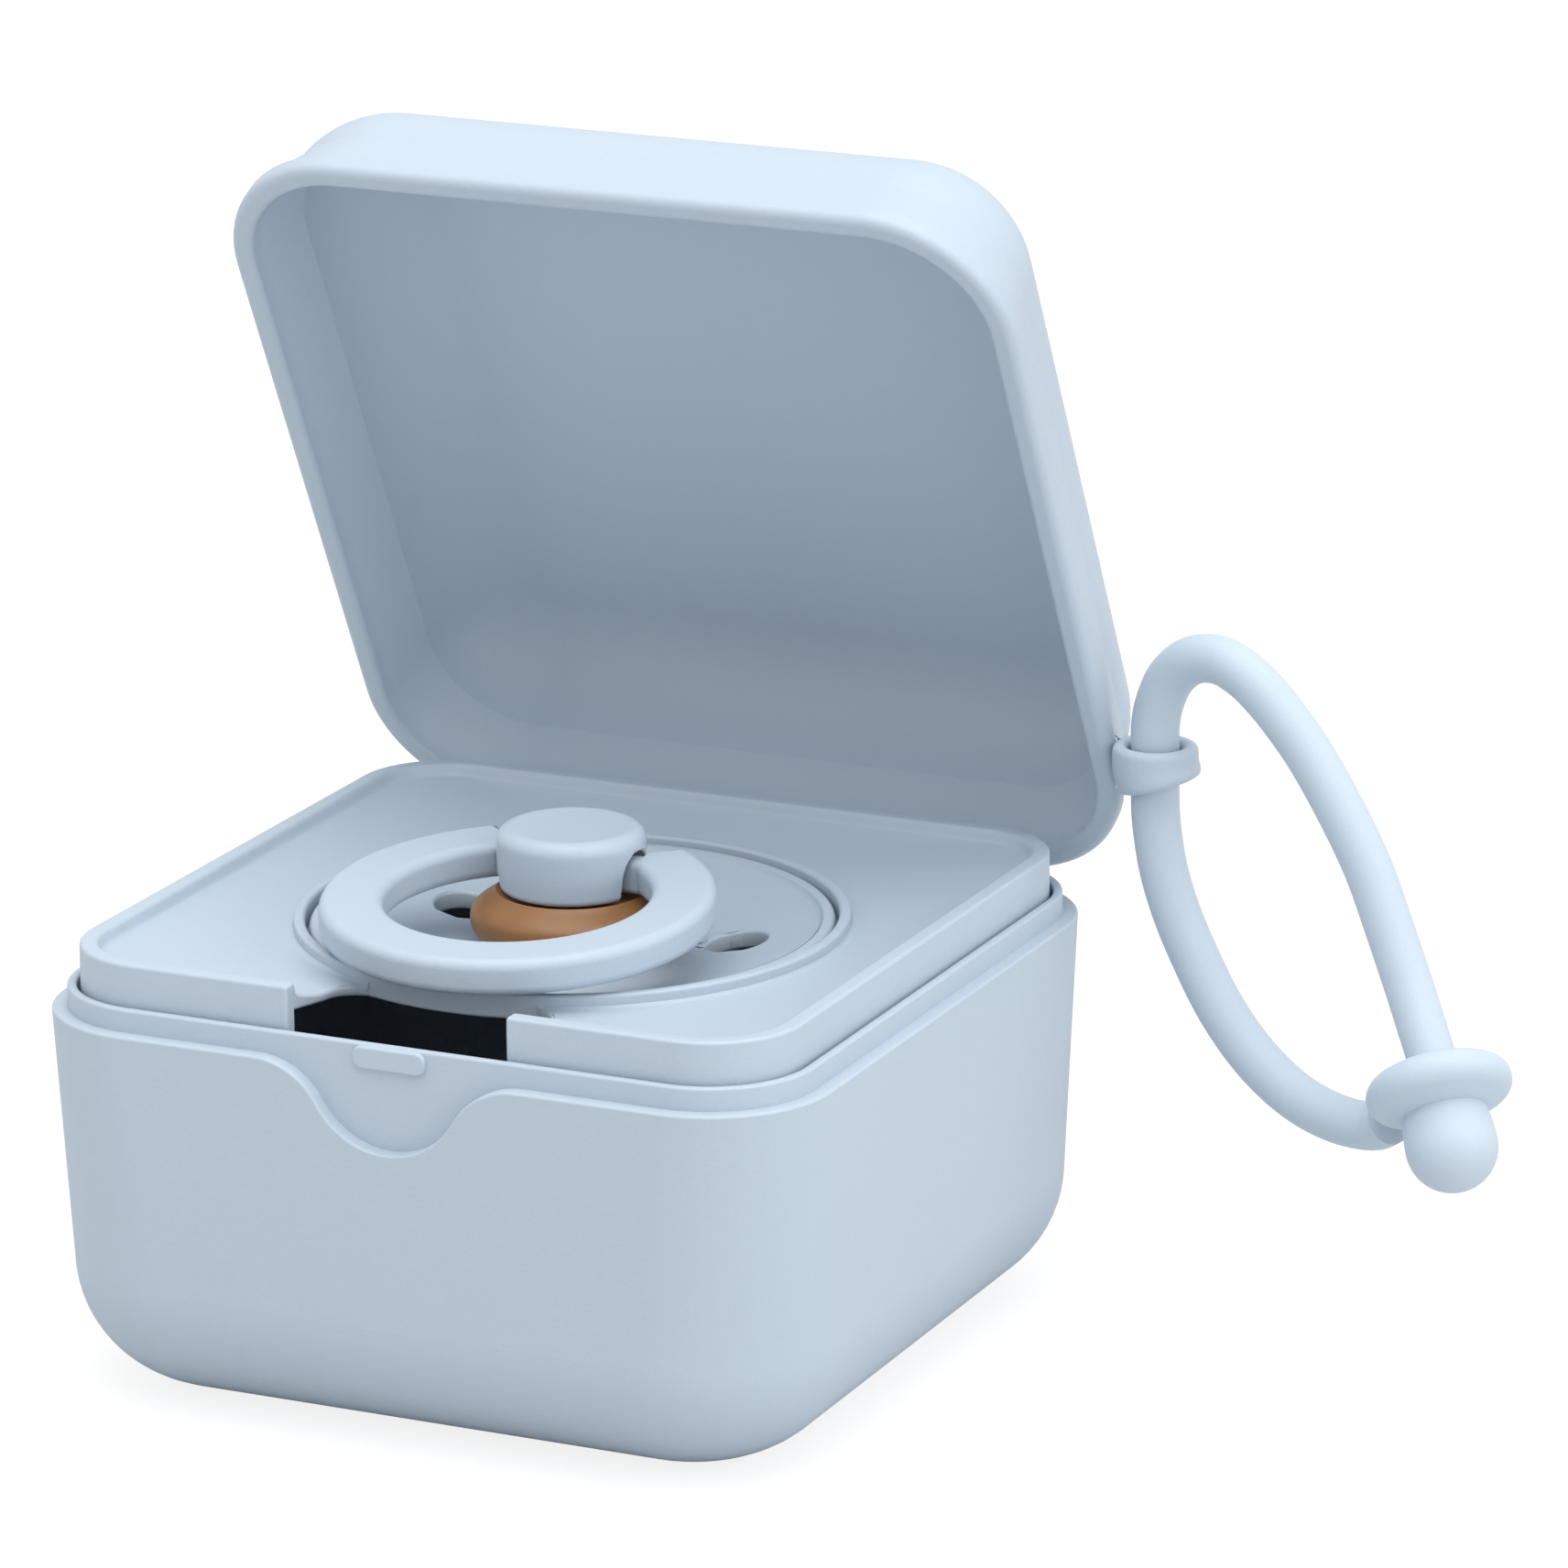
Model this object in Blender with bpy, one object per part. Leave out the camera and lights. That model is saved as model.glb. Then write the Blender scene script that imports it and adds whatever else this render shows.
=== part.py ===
"""A small square box for a pacifier, standing open with its pacifier in the tray.

The frame: metres, +Z up, the origin at the centre of the base's flat underside,
-Y to the front, where the thumb notch is. The lid is hinged at the back and stands
part open; a soft round strap hangs from the eye on its right edge.
"""

import math

import bmesh
import bpy
from mathutils import Matrix, Vector

# Clearances and cutting
FIT_GAP = 0.0003
OVERRUN = 0.002
EDGE_ROUND = 0.0003

# Base
BASE_HALF = 0.0344
BASE_CORNER = 0.0103
BASE_DRAFT = 0.0001
BASE_LOW_CORNER = 0.0134
BASE_FILLET = 0.0109
SHOULDER_Z = 0.03264
BASE_WALL = 0.0032
BASE_FLOOR = 0.002
SHOULDER_STEP = 0.0013
BAND_WIDTH = 0.0008
BAND_HEIGHT = 0.00191
SEAT_DROP = 0.00564

# Thumb notch and snap nub on the base's front
NOTCH_DEPTH = 0.0068
NOTCH_RADIUS = 0.00695
NOTCH_SLOPE = math.radians(60)
NUB_WIDTH = 0.0065
NUB_HEIGHT = 0.0018
NUB_PROUD = 0.0005
NUB_CORNER_SHARE = 0.4

# Tray
TRAY_RISE = 0.00536
LIP_WIDTH = 0.0015
DECK_EDGE_DROP = 0.001
DECK_WELL_DROP = 0.0026
DECK_THICKNESS = 0.0014
COLLAR_DROP = 0.0015
COLLAR_WALL = 0.00095
COLLAR_HEIGHT = 0.0021
SEAT_STEP_WIDTH = 0.00095
SEAT_STEP_DROP = 0.0019
SEAT_STEP_THICKNESS = 0.0007
SLOT_HALF = 0.0098
SLOT_FLARE = 0.003
SLOT_DEPTH_SHARE = 0.8
DECK_SHARES = (0.3, 0.65)

# Lid, drawn closed
LID_OVERHANG = 0.0012
LID_CORNER_GROWTH = 0.0014
LID_BEAD_HEIGHT = 0.0017
LID_CREASE = 0.00045
LID_DRAFT = 0.00135
LID_STRAIGHT = 0.0067
LID_FILLET = 0.0096
LID_WALL = 0.0018
LID_RIM_WIDTH = 0.0022

# Hinge: the axis runs along X behind the base's wall
HINGE_BEHIND = 0.0015
HINGE_DROP = 0.00064
LID_OPEN = math.radians(63.18)
BARREL_RADIUS = 0.0022
PIN_RADIUS = 0.0009
HINGE_HALF = 0.018
LID_KNUCKLE_HALF = 0.0089
GUSSET_DROP = 0.0055
GUSSET_LEAN = math.radians(36)

# Eye on the lid's right edge, placed from the hinge axis along the closed lid
EYE_REACH = 0.0037
EYE_FORWARD = 0.01455
EYE_UP = 0.002
EYE_WALL = 0.0013
EYE_THICKNESS = 0.0026
EYE_NECK_HALF = 0.0026
EYE_ROOT_HALF = 0.0036
EYE_ROOT_THICKNESS = 0.0022
EYE_NECK_SHARE = 0.45
EYE_ROUND_SHARE = 0.8
EYE_ROOT_SHARES = (0.0, 0.25, 0.5, 0.75, 1.0)

# Strap
STRAP_DIAMETER = 0.0041
DISC_RADIUS = 0.0061
DISC_THICKNESS = 0.0036
DISC_ROUND_SHARE = 0.85
BALL_RADIUS = 0.00382
BALL_DISTANCE = 0.0051
BALL_TOP_SHARE = 0.86
BALL_SHOULDER_SHARES = ((0.76, 1.0), (0.89, 0.9), (0.96, 0.62), (0.99, 0.32))
DISC_CENTRE = Vector((0.06932, 0.01965, 0.02417))
DISC_AXIS = Vector((-0.415, 0.495, 0.763)).normalized()
DISC_TAIL = Vector((-0.0049, 0.0019, -0.0036))
STRAP_STEPS = 4
STRAP_ROUTE = (
    (0.0626, 0.0225, 0.0192),
    (0.0594, 0.0238, 0.0188),
    (0.0558, 0.0251, 0.0193),
    (0.0525, 0.0263, 0.0206),
    (0.0493, 0.0275, 0.0227),
    (0.0464, 0.0285, 0.0256),
    (0.0440, 0.0294, 0.0289),
    (0.0418, 0.0302, 0.0326),
    (0.0403, 0.0307, 0.0363),
    (0.0395, 0.0310, 0.0401),
    (0.0393, 0.0311, 0.0430),
    (0.0393, 0.0311, 0.0459),
    (0.0393, 0.0311, 0.0488),
    (0.0398, 0.0310, 0.0511),
    (0.0409, 0.0308, 0.0533),
    (0.0429, 0.0303, 0.0550),
    (0.0455, 0.0297, 0.0555),
    (0.0480, 0.0291, 0.0547),
    (0.0502, 0.0286, 0.0532),
    (0.0524, 0.0282, 0.0511),
    (0.0548, 0.0277, 0.0484),
    (0.0578, 0.0269, 0.0443),
    (0.0604, 0.0262, 0.0401),
    (0.0626, 0.0252, 0.0358),
    (0.0645, 0.0241, 0.0322),
    (0.0661, 0.0229, 0.0294),
)

# Pacifier: the shield lies on the tray's seat step
SHIELD_RADIUS = 0.0218
SHIELD_EDGE_HEIGHT = 0.0011
SHIELD_DISH = 0.0028
SHIELD_THICKNESS = 0.0016
SHIELD_BEAD = 0.0012
SHIELD_TOP_SHARES = ((0.94, 0.82), (0.78, 0.5), (0.62, 0.21), (0.42, 0.06))
SHIELD_LOW_SHARES = ((0.42, 0.05), (0.62, 0.2), (0.78, 0.49), (0.9, 0.86))
VENT_RADIUS = 0.0026
VENT_X = 0.0126
VENT_Y = 0.0052
TEAT_NECK_RADIUS = 0.0055
TEAT_FLANGE_RADIUS = 0.0085
TEAT_TOP_RADIUS = 0.0064
TEAT_RISE = 0.0036
TEAT_BULB_RADIUS = 0.0078
TEAT_LENGTH = 0.0322
TEAT_WALL = 0.0013
FLANGE_SHARES = (
    (0.82, 0.0),
    (0.952, 0.25),
    (1.0, 0.53),
    (0.985, 0.69),
    (0.94, 0.8),
    (0.87, 0.88),
    (0.82, 0.925),
)
BULB_SHARES = (
    (0.6, 0.03),
    (0.9, 0.1),
    (1.0, 0.21),
    (0.97, 0.31),
    (0.8, 0.52),
    (0.66, 0.72),
    (0.7, 0.87),
    (0.84, 0.95),
)
HOLLOW_SHARES = ((0.62, 0.035), (0.9, 0.12), (1.0, 0.22), (0.95, 0.32), (0.78, 0.52))
PLUG_RADIUS = 0.002
PLUG_HEAD_RADIUS = 0.0037
PLUG_HEAD_HEIGHT = 0.0028
PLUG_REACH = 0.0029
KNOB_RADIUS = 0.0062
KNOB_TAPER = 0.0002
KNOB_RISE = 0.0057
KNOB_ROUND = 0.0011
KNOB_DISH = 0.0003
KNOB_DISH_SHARES = (0.55, 0.6)

# Ring handle, on two stubs in the knob's slots
PIVOT_DROP = 0.0036
RING_OUTER = 0.0163
RING_INNER = 0.011
RING_THICKNESS = 0.0031
RING_ROUND = 0.0009
RING_REACH = 0.01
RING_TILT = math.radians(4)
RING_END_DEPTH = 0.0013
RING_CHAMFER_RUN = 0.0021
RING_CHAMFER_RISE = 0.0014
STUB_RADIUS = 0.0013
STUB_LENGTH = 0.0025
KNOB_SLOT_RADIUS = 0.0021

# Facets
CORNER_STEPS = 8
TRAY_STEPS = 12
ROUND_SEGMENTS = 40
PIN_SEGMENTS = 20
FILLET_STEPS = 5
SMOOTH_ANGLE = math.radians(35)

# Finishes: linear colour, roughness
PALE_BLUE = (0.52, 0.63, 0.73)
AMBER = (0.37, 0.17, 0.06)
SATIN = 0.45
STEEL = (0.55, 0.56, 0.58)

# Sizes that follow from the ones above
BAND_HALF = BASE_HALF - SHOULDER_STEP
SEAT_Z = SHOULDER_Z - SEAT_DROP
TRAY_TOP_Z = SHOULDER_Z + TRAY_RISE
COLLAR_TOP_Z = TRAY_TOP_Z - COLLAR_DROP
SEAT_STEP_Z = COLLAR_TOP_Z - SEAT_STEP_DROP
TEAT_TOP_Z = SEAT_STEP_Z + TEAT_RISE
TEAT_TIP_Z = TEAT_TOP_Z - TEAT_LENGTH
KNOB_TOP_Z = TEAT_TOP_Z + KNOB_RISE
PIVOT_Z = KNOB_TOP_Z - PIVOT_DROP
LID_BEAD_HALF = BASE_HALF + LID_OVERHANG
LID_BEAD_CORNER = BASE_CORNER + LID_CORNER_GROWTH
EYE_X = LID_BEAD_HALF + EYE_REACH
HINGE_Y = BASE_HALF + HINGE_BEHIND
HINGE_Z = SHOULDER_Z - HINGE_DROP
HINGE = Vector((0.0, HINGE_Y, HINGE_Z))
QUARTERS = ((1, 1), (-1, 1), (-1, -1), (1, -1))


def clear_scene():
    for obj in list(bpy.data.objects):
        bpy.data.objects.remove(obj)


def finish(name, colour, roughness, metallic=0.0):
    paint = bpy.data.materials.new(name)
    paint.use_nodes = True
    shader = paint.node_tree.nodes["Principled BSDF"]
    shader.inputs["Base Color"].default_value = (*colour, 1.0)
    shader.inputs["Roughness"].default_value = roughness
    shader.inputs["Metallic"].default_value = metallic
    return paint


def add_mesh(name, shape, paint=None, location=(0.0, 0.0, 0.0)):
    """An object of this bmesh. Without a paint it is a helper that stays out of the render."""
    bmesh.ops.recalc_face_normals(shape, faces=shape.faces)
    mesh = bpy.data.meshes.new(name)
    shape.to_mesh(mesh)
    shape.free()
    obj = bpy.data.objects.new(name, mesh)
    obj.location = location
    bpy.context.scene.collection.objects.link(obj)
    if paint is None:
        obj.hide_render = True
        obj.display_type = "WIRE"
        return obj
    mesh.materials.append(paint)
    mesh.shade_smooth()
    mesh.set_sharp_from_angle(angle=SMOOTH_ANGLE)
    return obj


def combine(obj, helper, operation):
    modifier = obj.modifiers.new(helper.name, "BOOLEAN")
    modifier.operation = operation
    modifier.object = helper


def cut(obj, helper):
    combine(obj, helper, "DIFFERENCE")


def join(obj, helper):
    combine(obj, helper, "UNION")


def square_ring(half, corner, z, steps=CORNER_STEPS):
    """A level square with round corners, as points anticlockwise from above."""
    half_step = math.pi / 4 / steps
    inset = half - corner * math.cos(half_step)
    points = []
    for quarter, (side_x, side_y) in enumerate(QUARTERS):
        for step in range(steps):
            angle = math.pi / 2 * quarter + half_step * (2 * step + 1)
            x = side_x * inset + corner * math.cos(angle)
            y = side_y * inset + corner * math.sin(angle)
            points.append(Vector((x, y, z)))
    return points


def round_ring(radius, z, steps=TRAY_STEPS):
    """A level circle with as many points as a square ring of these steps."""
    return square_ring(radius * math.cos(math.pi / 4 / steps), radius, z, steps)


def fillet_rings(half, corner, radius, z, rise):
    """The square rings of a fillet that turns inwards from height z, up or down."""
    rings = []
    for step in range(FILLET_STEPS + 1):
        angle = math.pi / 2 * step / FILLET_STEPS
        inset = radius * (1 - math.cos(angle))
        level = z + rise * radius * math.sin(angle)
        rings.append(square_ring(half - inset, corner - inset, level))
    return rings


def loft(rings, loop=False):
    """Faces from each ring to the next, closed by a cap at each end or, as a loop, by themselves."""
    shape = bmesh.new()
    rows = [[shape.verts.new(point) for point in ring] for ring in rings]
    pairs = list(zip(rows, rows[1:]))
    if loop:
        pairs.append((rows[-1], rows[0]))
    for low, high in pairs:
        for i in range(len(low)):
            j = (i + 1) % len(low)
            shape.faces.new((low[i], low[j], high[j], high[i]))
    if not loop:
        shape.faces.new(rows[0])
        shape.faces.new(rows[-1])
    return shape


def turned(profile, loop=False, segments=ROUND_SEGMENTS):
    """A shape turned about Z from (radius, height) points; without a loop both ends lie on the axis."""
    shape = bmesh.new()
    rows = []
    for radius, height in profile:
        if radius == 0.0:
            rows.append([shape.verts.new((0.0, 0.0, height))])
            continue
        angles = [2 * math.pi * i / segments for i in range(segments)]
        rows.append([shape.verts.new((radius * math.cos(a), radius * math.sin(a), height)) for a in angles])
    pairs = list(zip(rows, rows[1:]))
    if loop:
        pairs.append((rows[-1], rows[0]))
    for low, high in pairs:
        for i in range(segments):
            j = (i + 1) % segments
            corners = [low[i % len(low)], low[j % len(low)], high[j % len(high)], high[i % len(high)]]
            shape.faces.new(list(dict.fromkeys(corners)))
    return shape


def arc(centre, radius, start, end, steps):
    """Points (a, b) along an arc about centre, angles in degrees."""
    angles = [math.radians(start + (end - start) * i / steps) for i in range(steps + 1)]
    return [(centre[0] + radius * math.cos(a), centre[1] + radius * math.sin(a)) for a in angles]


def rounded_section(low, high, corner, steps=3):
    """A rectangle from low to high with round corners, as profile points."""
    (x0, z0), (x1, z1) = low, high
    return (
        arc((x1 - corner, z1 - corner), corner, 0, 90, steps)
        + arc((x0 + corner, z1 - corner), corner, 90, 180, steps)
        + arc((x0 + corner, z0 + corner), corner, 180, 270, steps)
        + arc((x1 - corner, z0 + corner), corner, 270, 360, steps)
    )


def prism(outline, place, start, end):
    """An outline of (a, b) pairs drawn out from start to end; place(a, b, d) gives each point."""
    shape = bmesh.new()
    near = [shape.verts.new(place(a, b, start)) for a, b in outline]
    far = [shape.verts.new(place(a, b, end)) for a, b in outline]
    for i in range(len(outline)):
        j = (i + 1) % len(outline)
        shape.faces.new((near[i], near[j], far[j], far[i]))
    shape.faces.new(near)
    shape.faces.new(far)
    return shape


def along_x(a, b, d):
    return Vector((d, a, b))


def along_y(a, b, d):
    return Vector((a, d, b))


def along_z(a, b, d):
    return Vector((a, b, d))


def rod_x(radius, start, end, centre=(0.0, 0.0)):
    """A round rod along X, from start to end, about (y, z)."""
    outline = arc(centre, radius, 0, 360, PIN_SEGMENTS)[:-1]
    return prism(outline, along_x, start, end)


def box(low, high):
    outline = ((low[0], low[1]), (high[0], low[1]), (high[0], high[1]), (low[0], high[1]))
    return prism(outline, along_z, low[2], high[2])


def sides():
    return ((1, "right"), (-1, "left"))


def notch_outline():
    """The thumb notch from its left flare, down round its bottom and up to its right flare."""
    flare_radius = NOTCH_DEPTH / (1 - math.cos(NOTCH_SLOPE)) - NOTCH_RADIUS
    reach = (NOTCH_RADIUS + flare_radius) * math.sin(NOTCH_SLOPE)
    bottom = SHOULDER_Z - NOTCH_DEPTH
    slope = math.degrees(NOTCH_SLOPE)
    flare_centre_z = SHOULDER_Z - flare_radius
    left = arc((-reach, flare_centre_z), flare_radius, 90, 90 - slope, 6)
    middle = arc((0.0, bottom + NOTCH_RADIUS), NOTCH_RADIUS, 270 - slope, 270 + slope, 14)
    right = arc((reach, flare_centre_z), flare_radius, 90 + slope, 90, 6)
    top = SHOULDER_Z + OVERRUN
    return left + middle[1:-1] + right + [(reach, top), (-reach, top)]


def build_base(paint):
    band_corner = BASE_CORNER - (BASE_HALF - BAND_HALF)
    rim_z = SHOULDER_Z + BAND_HEIGHT
    rim_inner = BAND_HALF - BAND_WIDTH
    rim_corner = band_corner - BAND_WIDTH
    seat_half = BASE_HALF - BASE_WALL
    seat_corner = BASE_CORNER - BASE_WALL
    low_half = BASE_HALF - BASE_DRAFT
    inner_low_corner = BASE_LOW_CORNER - BASE_WALL
    inner_fillet = BASE_FILLET - BASE_WALL
    rings = fillet_rings(low_half, BASE_LOW_CORNER, BASE_FILLET, BASE_FILLET, -1)[::-1]
    rings += [
        square_ring(BASE_HALF, BASE_CORNER, SHOULDER_Z - EDGE_ROUND),
        square_ring(BASE_HALF - EDGE_ROUND / 3, BASE_CORNER - EDGE_ROUND / 3, SHOULDER_Z - EDGE_ROUND / 3),
        square_ring(BASE_HALF - EDGE_ROUND, BASE_CORNER - EDGE_ROUND, SHOULDER_Z),
        square_ring(BAND_HALF, band_corner, SHOULDER_Z),
        square_ring(BAND_HALF, band_corner, rim_z - EDGE_ROUND),
        square_ring(BAND_HALF - EDGE_ROUND, band_corner - EDGE_ROUND, rim_z),
        square_ring(rim_inner, rim_corner, rim_z),
        square_ring(rim_inner, rim_corner, SEAT_Z),
        square_ring(seat_half, seat_corner, SEAT_Z),
    ]
    rings += fillet_rings(seat_half, inner_low_corner, inner_fillet, BASE_FLOOR + inner_fillet, -1)
    base = add_mesh("base", loft(rings), paint)

    notch = prism(notch_outline(), along_y, -BASE_HALF - OVERRUN, -BAND_HALF)
    cut(base, add_mesh("thumb_notch_cut", notch))

    nub_z = rim_z - NUB_HEIGHT / 2
    nub_low = (-NUB_WIDTH / 2, nub_z - NUB_HEIGHT / 2)
    nub_high = (NUB_WIDTH / 2, nub_z + NUB_HEIGHT / 2 - EDGE_ROUND)
    nub_section = rounded_section(nub_low, nub_high, NUB_HEIGHT * NUB_CORNER_SHARE)
    nub = prism(nub_section, along_y, -BAND_HALF - NUB_PROUD, -BAND_HALF + BAND_WIDTH / 2)
    join(base, add_mesh("snap_nub_form", nub))

    relief_radius = BARREL_RADIUS + FIT_GAP
    relief_half = LID_KNUCKLE_HALF + FIT_GAP / 2
    relief = rod_x(relief_radius, -relief_half, relief_half, (HINGE_Y, HINGE_Z))
    cut(base, add_mesh("base_hinge_relief", relief))
    inner_end = LID_KNUCKLE_HALF + FIT_GAP
    for side, word in sides():
        barrel = rod_x(BARREL_RADIUS, side * inner_end, side * HINGE_HALF, (HINGE_Y, HINGE_Z))
        join(base, add_mesh("base_knuckle_" + word, barrel))
        touch_y = HINGE_Y + BARREL_RADIUS * math.cos(GUSSET_LEAN)
        touch_z = HINGE_Z - BARREL_RADIUS * math.sin(GUSSET_LEAN)
        gusset_outline = (
            (BASE_HALF - BASE_WALL / 2, HINGE_Z),
            (BASE_HALF - BASE_WALL / 2, HINGE_Z - GUSSET_DROP - BARREL_RADIUS / 2),
            (BASE_HALF + EDGE_ROUND, HINGE_Z - GUSSET_DROP),
            (touch_y, touch_z),
            (HINGE_Y, HINGE_Z),
        )
        start, end = side * (inner_end + EDGE_ROUND), side * (HINGE_HALF - EDGE_ROUND)
        gusset = prism(gusset_outline, along_x, start, end)
        join(base, add_mesh("base_gusset_" + word, gusset))
    bore = rod_x(PIN_RADIUS + FIT_GAP, -HINGE_HALF - OVERRUN, HINGE_HALF + OVERRUN, (HINGE_Y, HINGE_Z))
    cut(base, add_mesh("base_pin_bore", bore))
    return base


def build_pin(paint):
    """The hinge pin, with a small chamfer at each end."""
    chamfer = PIN_RADIUS / 3
    profile = [
        (0.0, HINGE_HALF),
        (PIN_RADIUS - chamfer, HINGE_HALF),
        (PIN_RADIUS, HINGE_HALF - chamfer),
        (PIN_RADIUS, chamfer - HINGE_HALF),
        (PIN_RADIUS - chamfer, -HINGE_HALF),
        (0.0, -HINGE_HALF),
    ]
    pin = add_mesh("hinge_pin", turned(profile, segments=PIN_SEGMENTS), paint, HINGE)
    pin.rotation_euler = (0.0, math.radians(90), 0.0)


def lid_rings():
    """The closed lid's shell, from the middle of its top, down the outside and up to the ceiling."""
    rim_z = SHOULDER_Z + FIT_GAP
    bead_top = rim_z + LID_BEAD_HEIGHT
    wall_half = LID_BEAD_HALF - LID_CREASE
    wall_corner = LID_BEAD_CORNER - LID_CREASE
    top_half = wall_half - LID_DRAFT
    top_corner = wall_corner - LID_DRAFT / 2
    inner_half = top_half - LID_WALL
    inner_corner = top_corner - LID_WALL
    inner_fillet = LID_FILLET - LID_WALL
    straight_top = rim_z + LID_STRAIGHT
    rim_half = LID_BEAD_HALF - LID_RIM_WIDTH
    rim_corner = LID_BEAD_CORNER - LID_RIM_WIDTH
    bead_round = LID_BEAD_HEIGHT / 3
    soft_half = LID_BEAD_HALF - bead_round / 3
    soft_corner = LID_BEAD_CORNER - bead_round / 3
    rings = fillet_rings(top_half, top_corner, LID_FILLET, straight_top, 1)[::-1]
    rings += [
        square_ring(wall_half, wall_corner, bead_top),
        square_ring(soft_half, soft_corner, bead_top - bead_round / 2),
        square_ring(LID_BEAD_HALF, LID_BEAD_CORNER, bead_top - bead_round),
        square_ring(LID_BEAD_HALF, LID_BEAD_CORNER, rim_z + bead_round),
        square_ring(soft_half, soft_corner, rim_z + bead_round / 3),
        square_ring(LID_BEAD_HALF - bead_round, LID_BEAD_CORNER - bead_round, rim_z),
        square_ring(rim_half + EDGE_ROUND, rim_corner + EDGE_ROUND, rim_z),
        square_ring(rim_half, rim_corner, rim_z + EDGE_ROUND),
        square_ring(rim_half, rim_corner, bead_top),
    ]
    rings += fillet_rings(inner_half, inner_corner, inner_fillet, straight_top, 1)
    return rings


def eye_root():
    """The flare that carries the eye, from its ring (narrow) to the lid's bead, about the eye's centre."""
    bead_line = Vector((0.0, math.sin(math.pi / 2 - LID_OPEN), -math.cos(math.pi / 2 - LID_OPEN)))
    bead_side = Vector((0.0, math.cos(math.pi / 2 - LID_OPEN), math.sin(math.pi / 2 - LID_OPEN)))
    near_x = -EYE_REACH - EYE_WALL / 2
    ring_x = -STRAP_DIAMETER / 4
    sections = []
    for share in EYE_ROOT_SHARES:
        ease = share * share * (3 - 2 * share)
        wide = Vector((0.0, EYE_NECK_HALF, 0.0)).lerp(bead_side * EYE_ROOT_THICKNESS / 2, ease)
        tall = Vector((0.0, 0.0, EYE_THICKNESS * EYE_NECK_SHARE)).lerp(bead_line * -EYE_ROOT_HALF, ease)
        centre = Vector((ring_x + (near_x - ring_x) * share, 0.0, 0.0))
        angles = [2 * math.pi * i / PIN_SEGMENTS for i in range(PIN_SEGMENTS)]
        sections.append([centre + wide * math.cos(a) + tall * math.sin(a) for a in angles])
    return loft(sections)


def build_lid(paint):
    """The lid, with its origin on the hinge axis, turned open by LID_OPEN."""
    shell = loft(lid_rings())
    bmesh.ops.translate(shell, vec=-HINGE, verts=shell.verts)
    lid = add_mesh("lid", shell, paint, HINGE)
    lid.rotation_euler = (-LID_OPEN, 0.0, 0.0)

    rim_z = SHOULDER_Z + FIT_GAP
    recess_half = NUB_WIDTH / 2 + FIT_GAP
    recess = box(
        (-recess_half, -BAND_HALF - NUB_PROUD - FIT_GAP - HINGE_Y, rim_z - OVERRUN - HINGE_Z),
        (recess_half, -BAND_HALF + OVERRUN - HINGE_Y, SHOULDER_Z + BAND_HEIGHT + FIT_GAP - HINGE_Z),
    )
    forms = [("snap_recess_cut", recess, cut)]
    relief_radius = BARREL_RADIUS + FIT_GAP
    relief_start = LID_KNUCKLE_HALF + FIT_GAP / 2
    for side, word in sides():
        relief = rod_x(relief_radius, side * relief_start, side * (HINGE_HALF + FIT_GAP))
        forms.append(("lid_hinge_relief_" + word, relief, cut))
    forms.append(("lid_knuckle", rod_x(BARREL_RADIUS, -LID_KNUCKLE_HALF, LID_KNUCKLE_HALF), join))
    bore = rod_x(PIN_RADIUS + FIT_GAP, -LID_KNUCKLE_HALF - FIT_GAP / 3, LID_KNUCKLE_HALF + FIT_GAP / 3)
    forms.append(("lid_pin_bore", bore, cut))

    place = Matrix.Translation((EYE_X, -EYE_FORWARD, EYE_UP)) @ Matrix.Rotation(LID_OPEN, 4, "X")
    root = eye_root()
    hole_radius = STRAP_DIAMETER / 2 + FIT_GAP
    half = EYE_THICKNESS / 2
    reach = hole_radius + EYE_WALL
    section = rounded_section((hole_radius / 2, -half), (reach, half), half * EYE_ROUND_SHARE)
    collar = turned(section, loop=True, segments=PIN_SEGMENTS)
    hole_outline = arc((0.0, 0.0), hole_radius, 0, 360, PIN_SEGMENTS)[:-1]
    hole = prism(hole_outline, along_z, -EYE_THICKNESS - OVERRUN, EYE_THICKNESS + OVERRUN)
    eye_forms = [("eye_root_form", root, join), ("eye_ring_form", collar, join), ("eye_hole", hole, cut)]
    for name, shape, use in eye_forms:
        bmesh.ops.transform(shape, matrix=place, verts=shape.verts)
        forms.append((name, shape, use))
    for name, shape, use in forms:
        helper = add_mesh(name, shape)
        helper.parent = lid
        use(lid, helper)
    return lid


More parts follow.
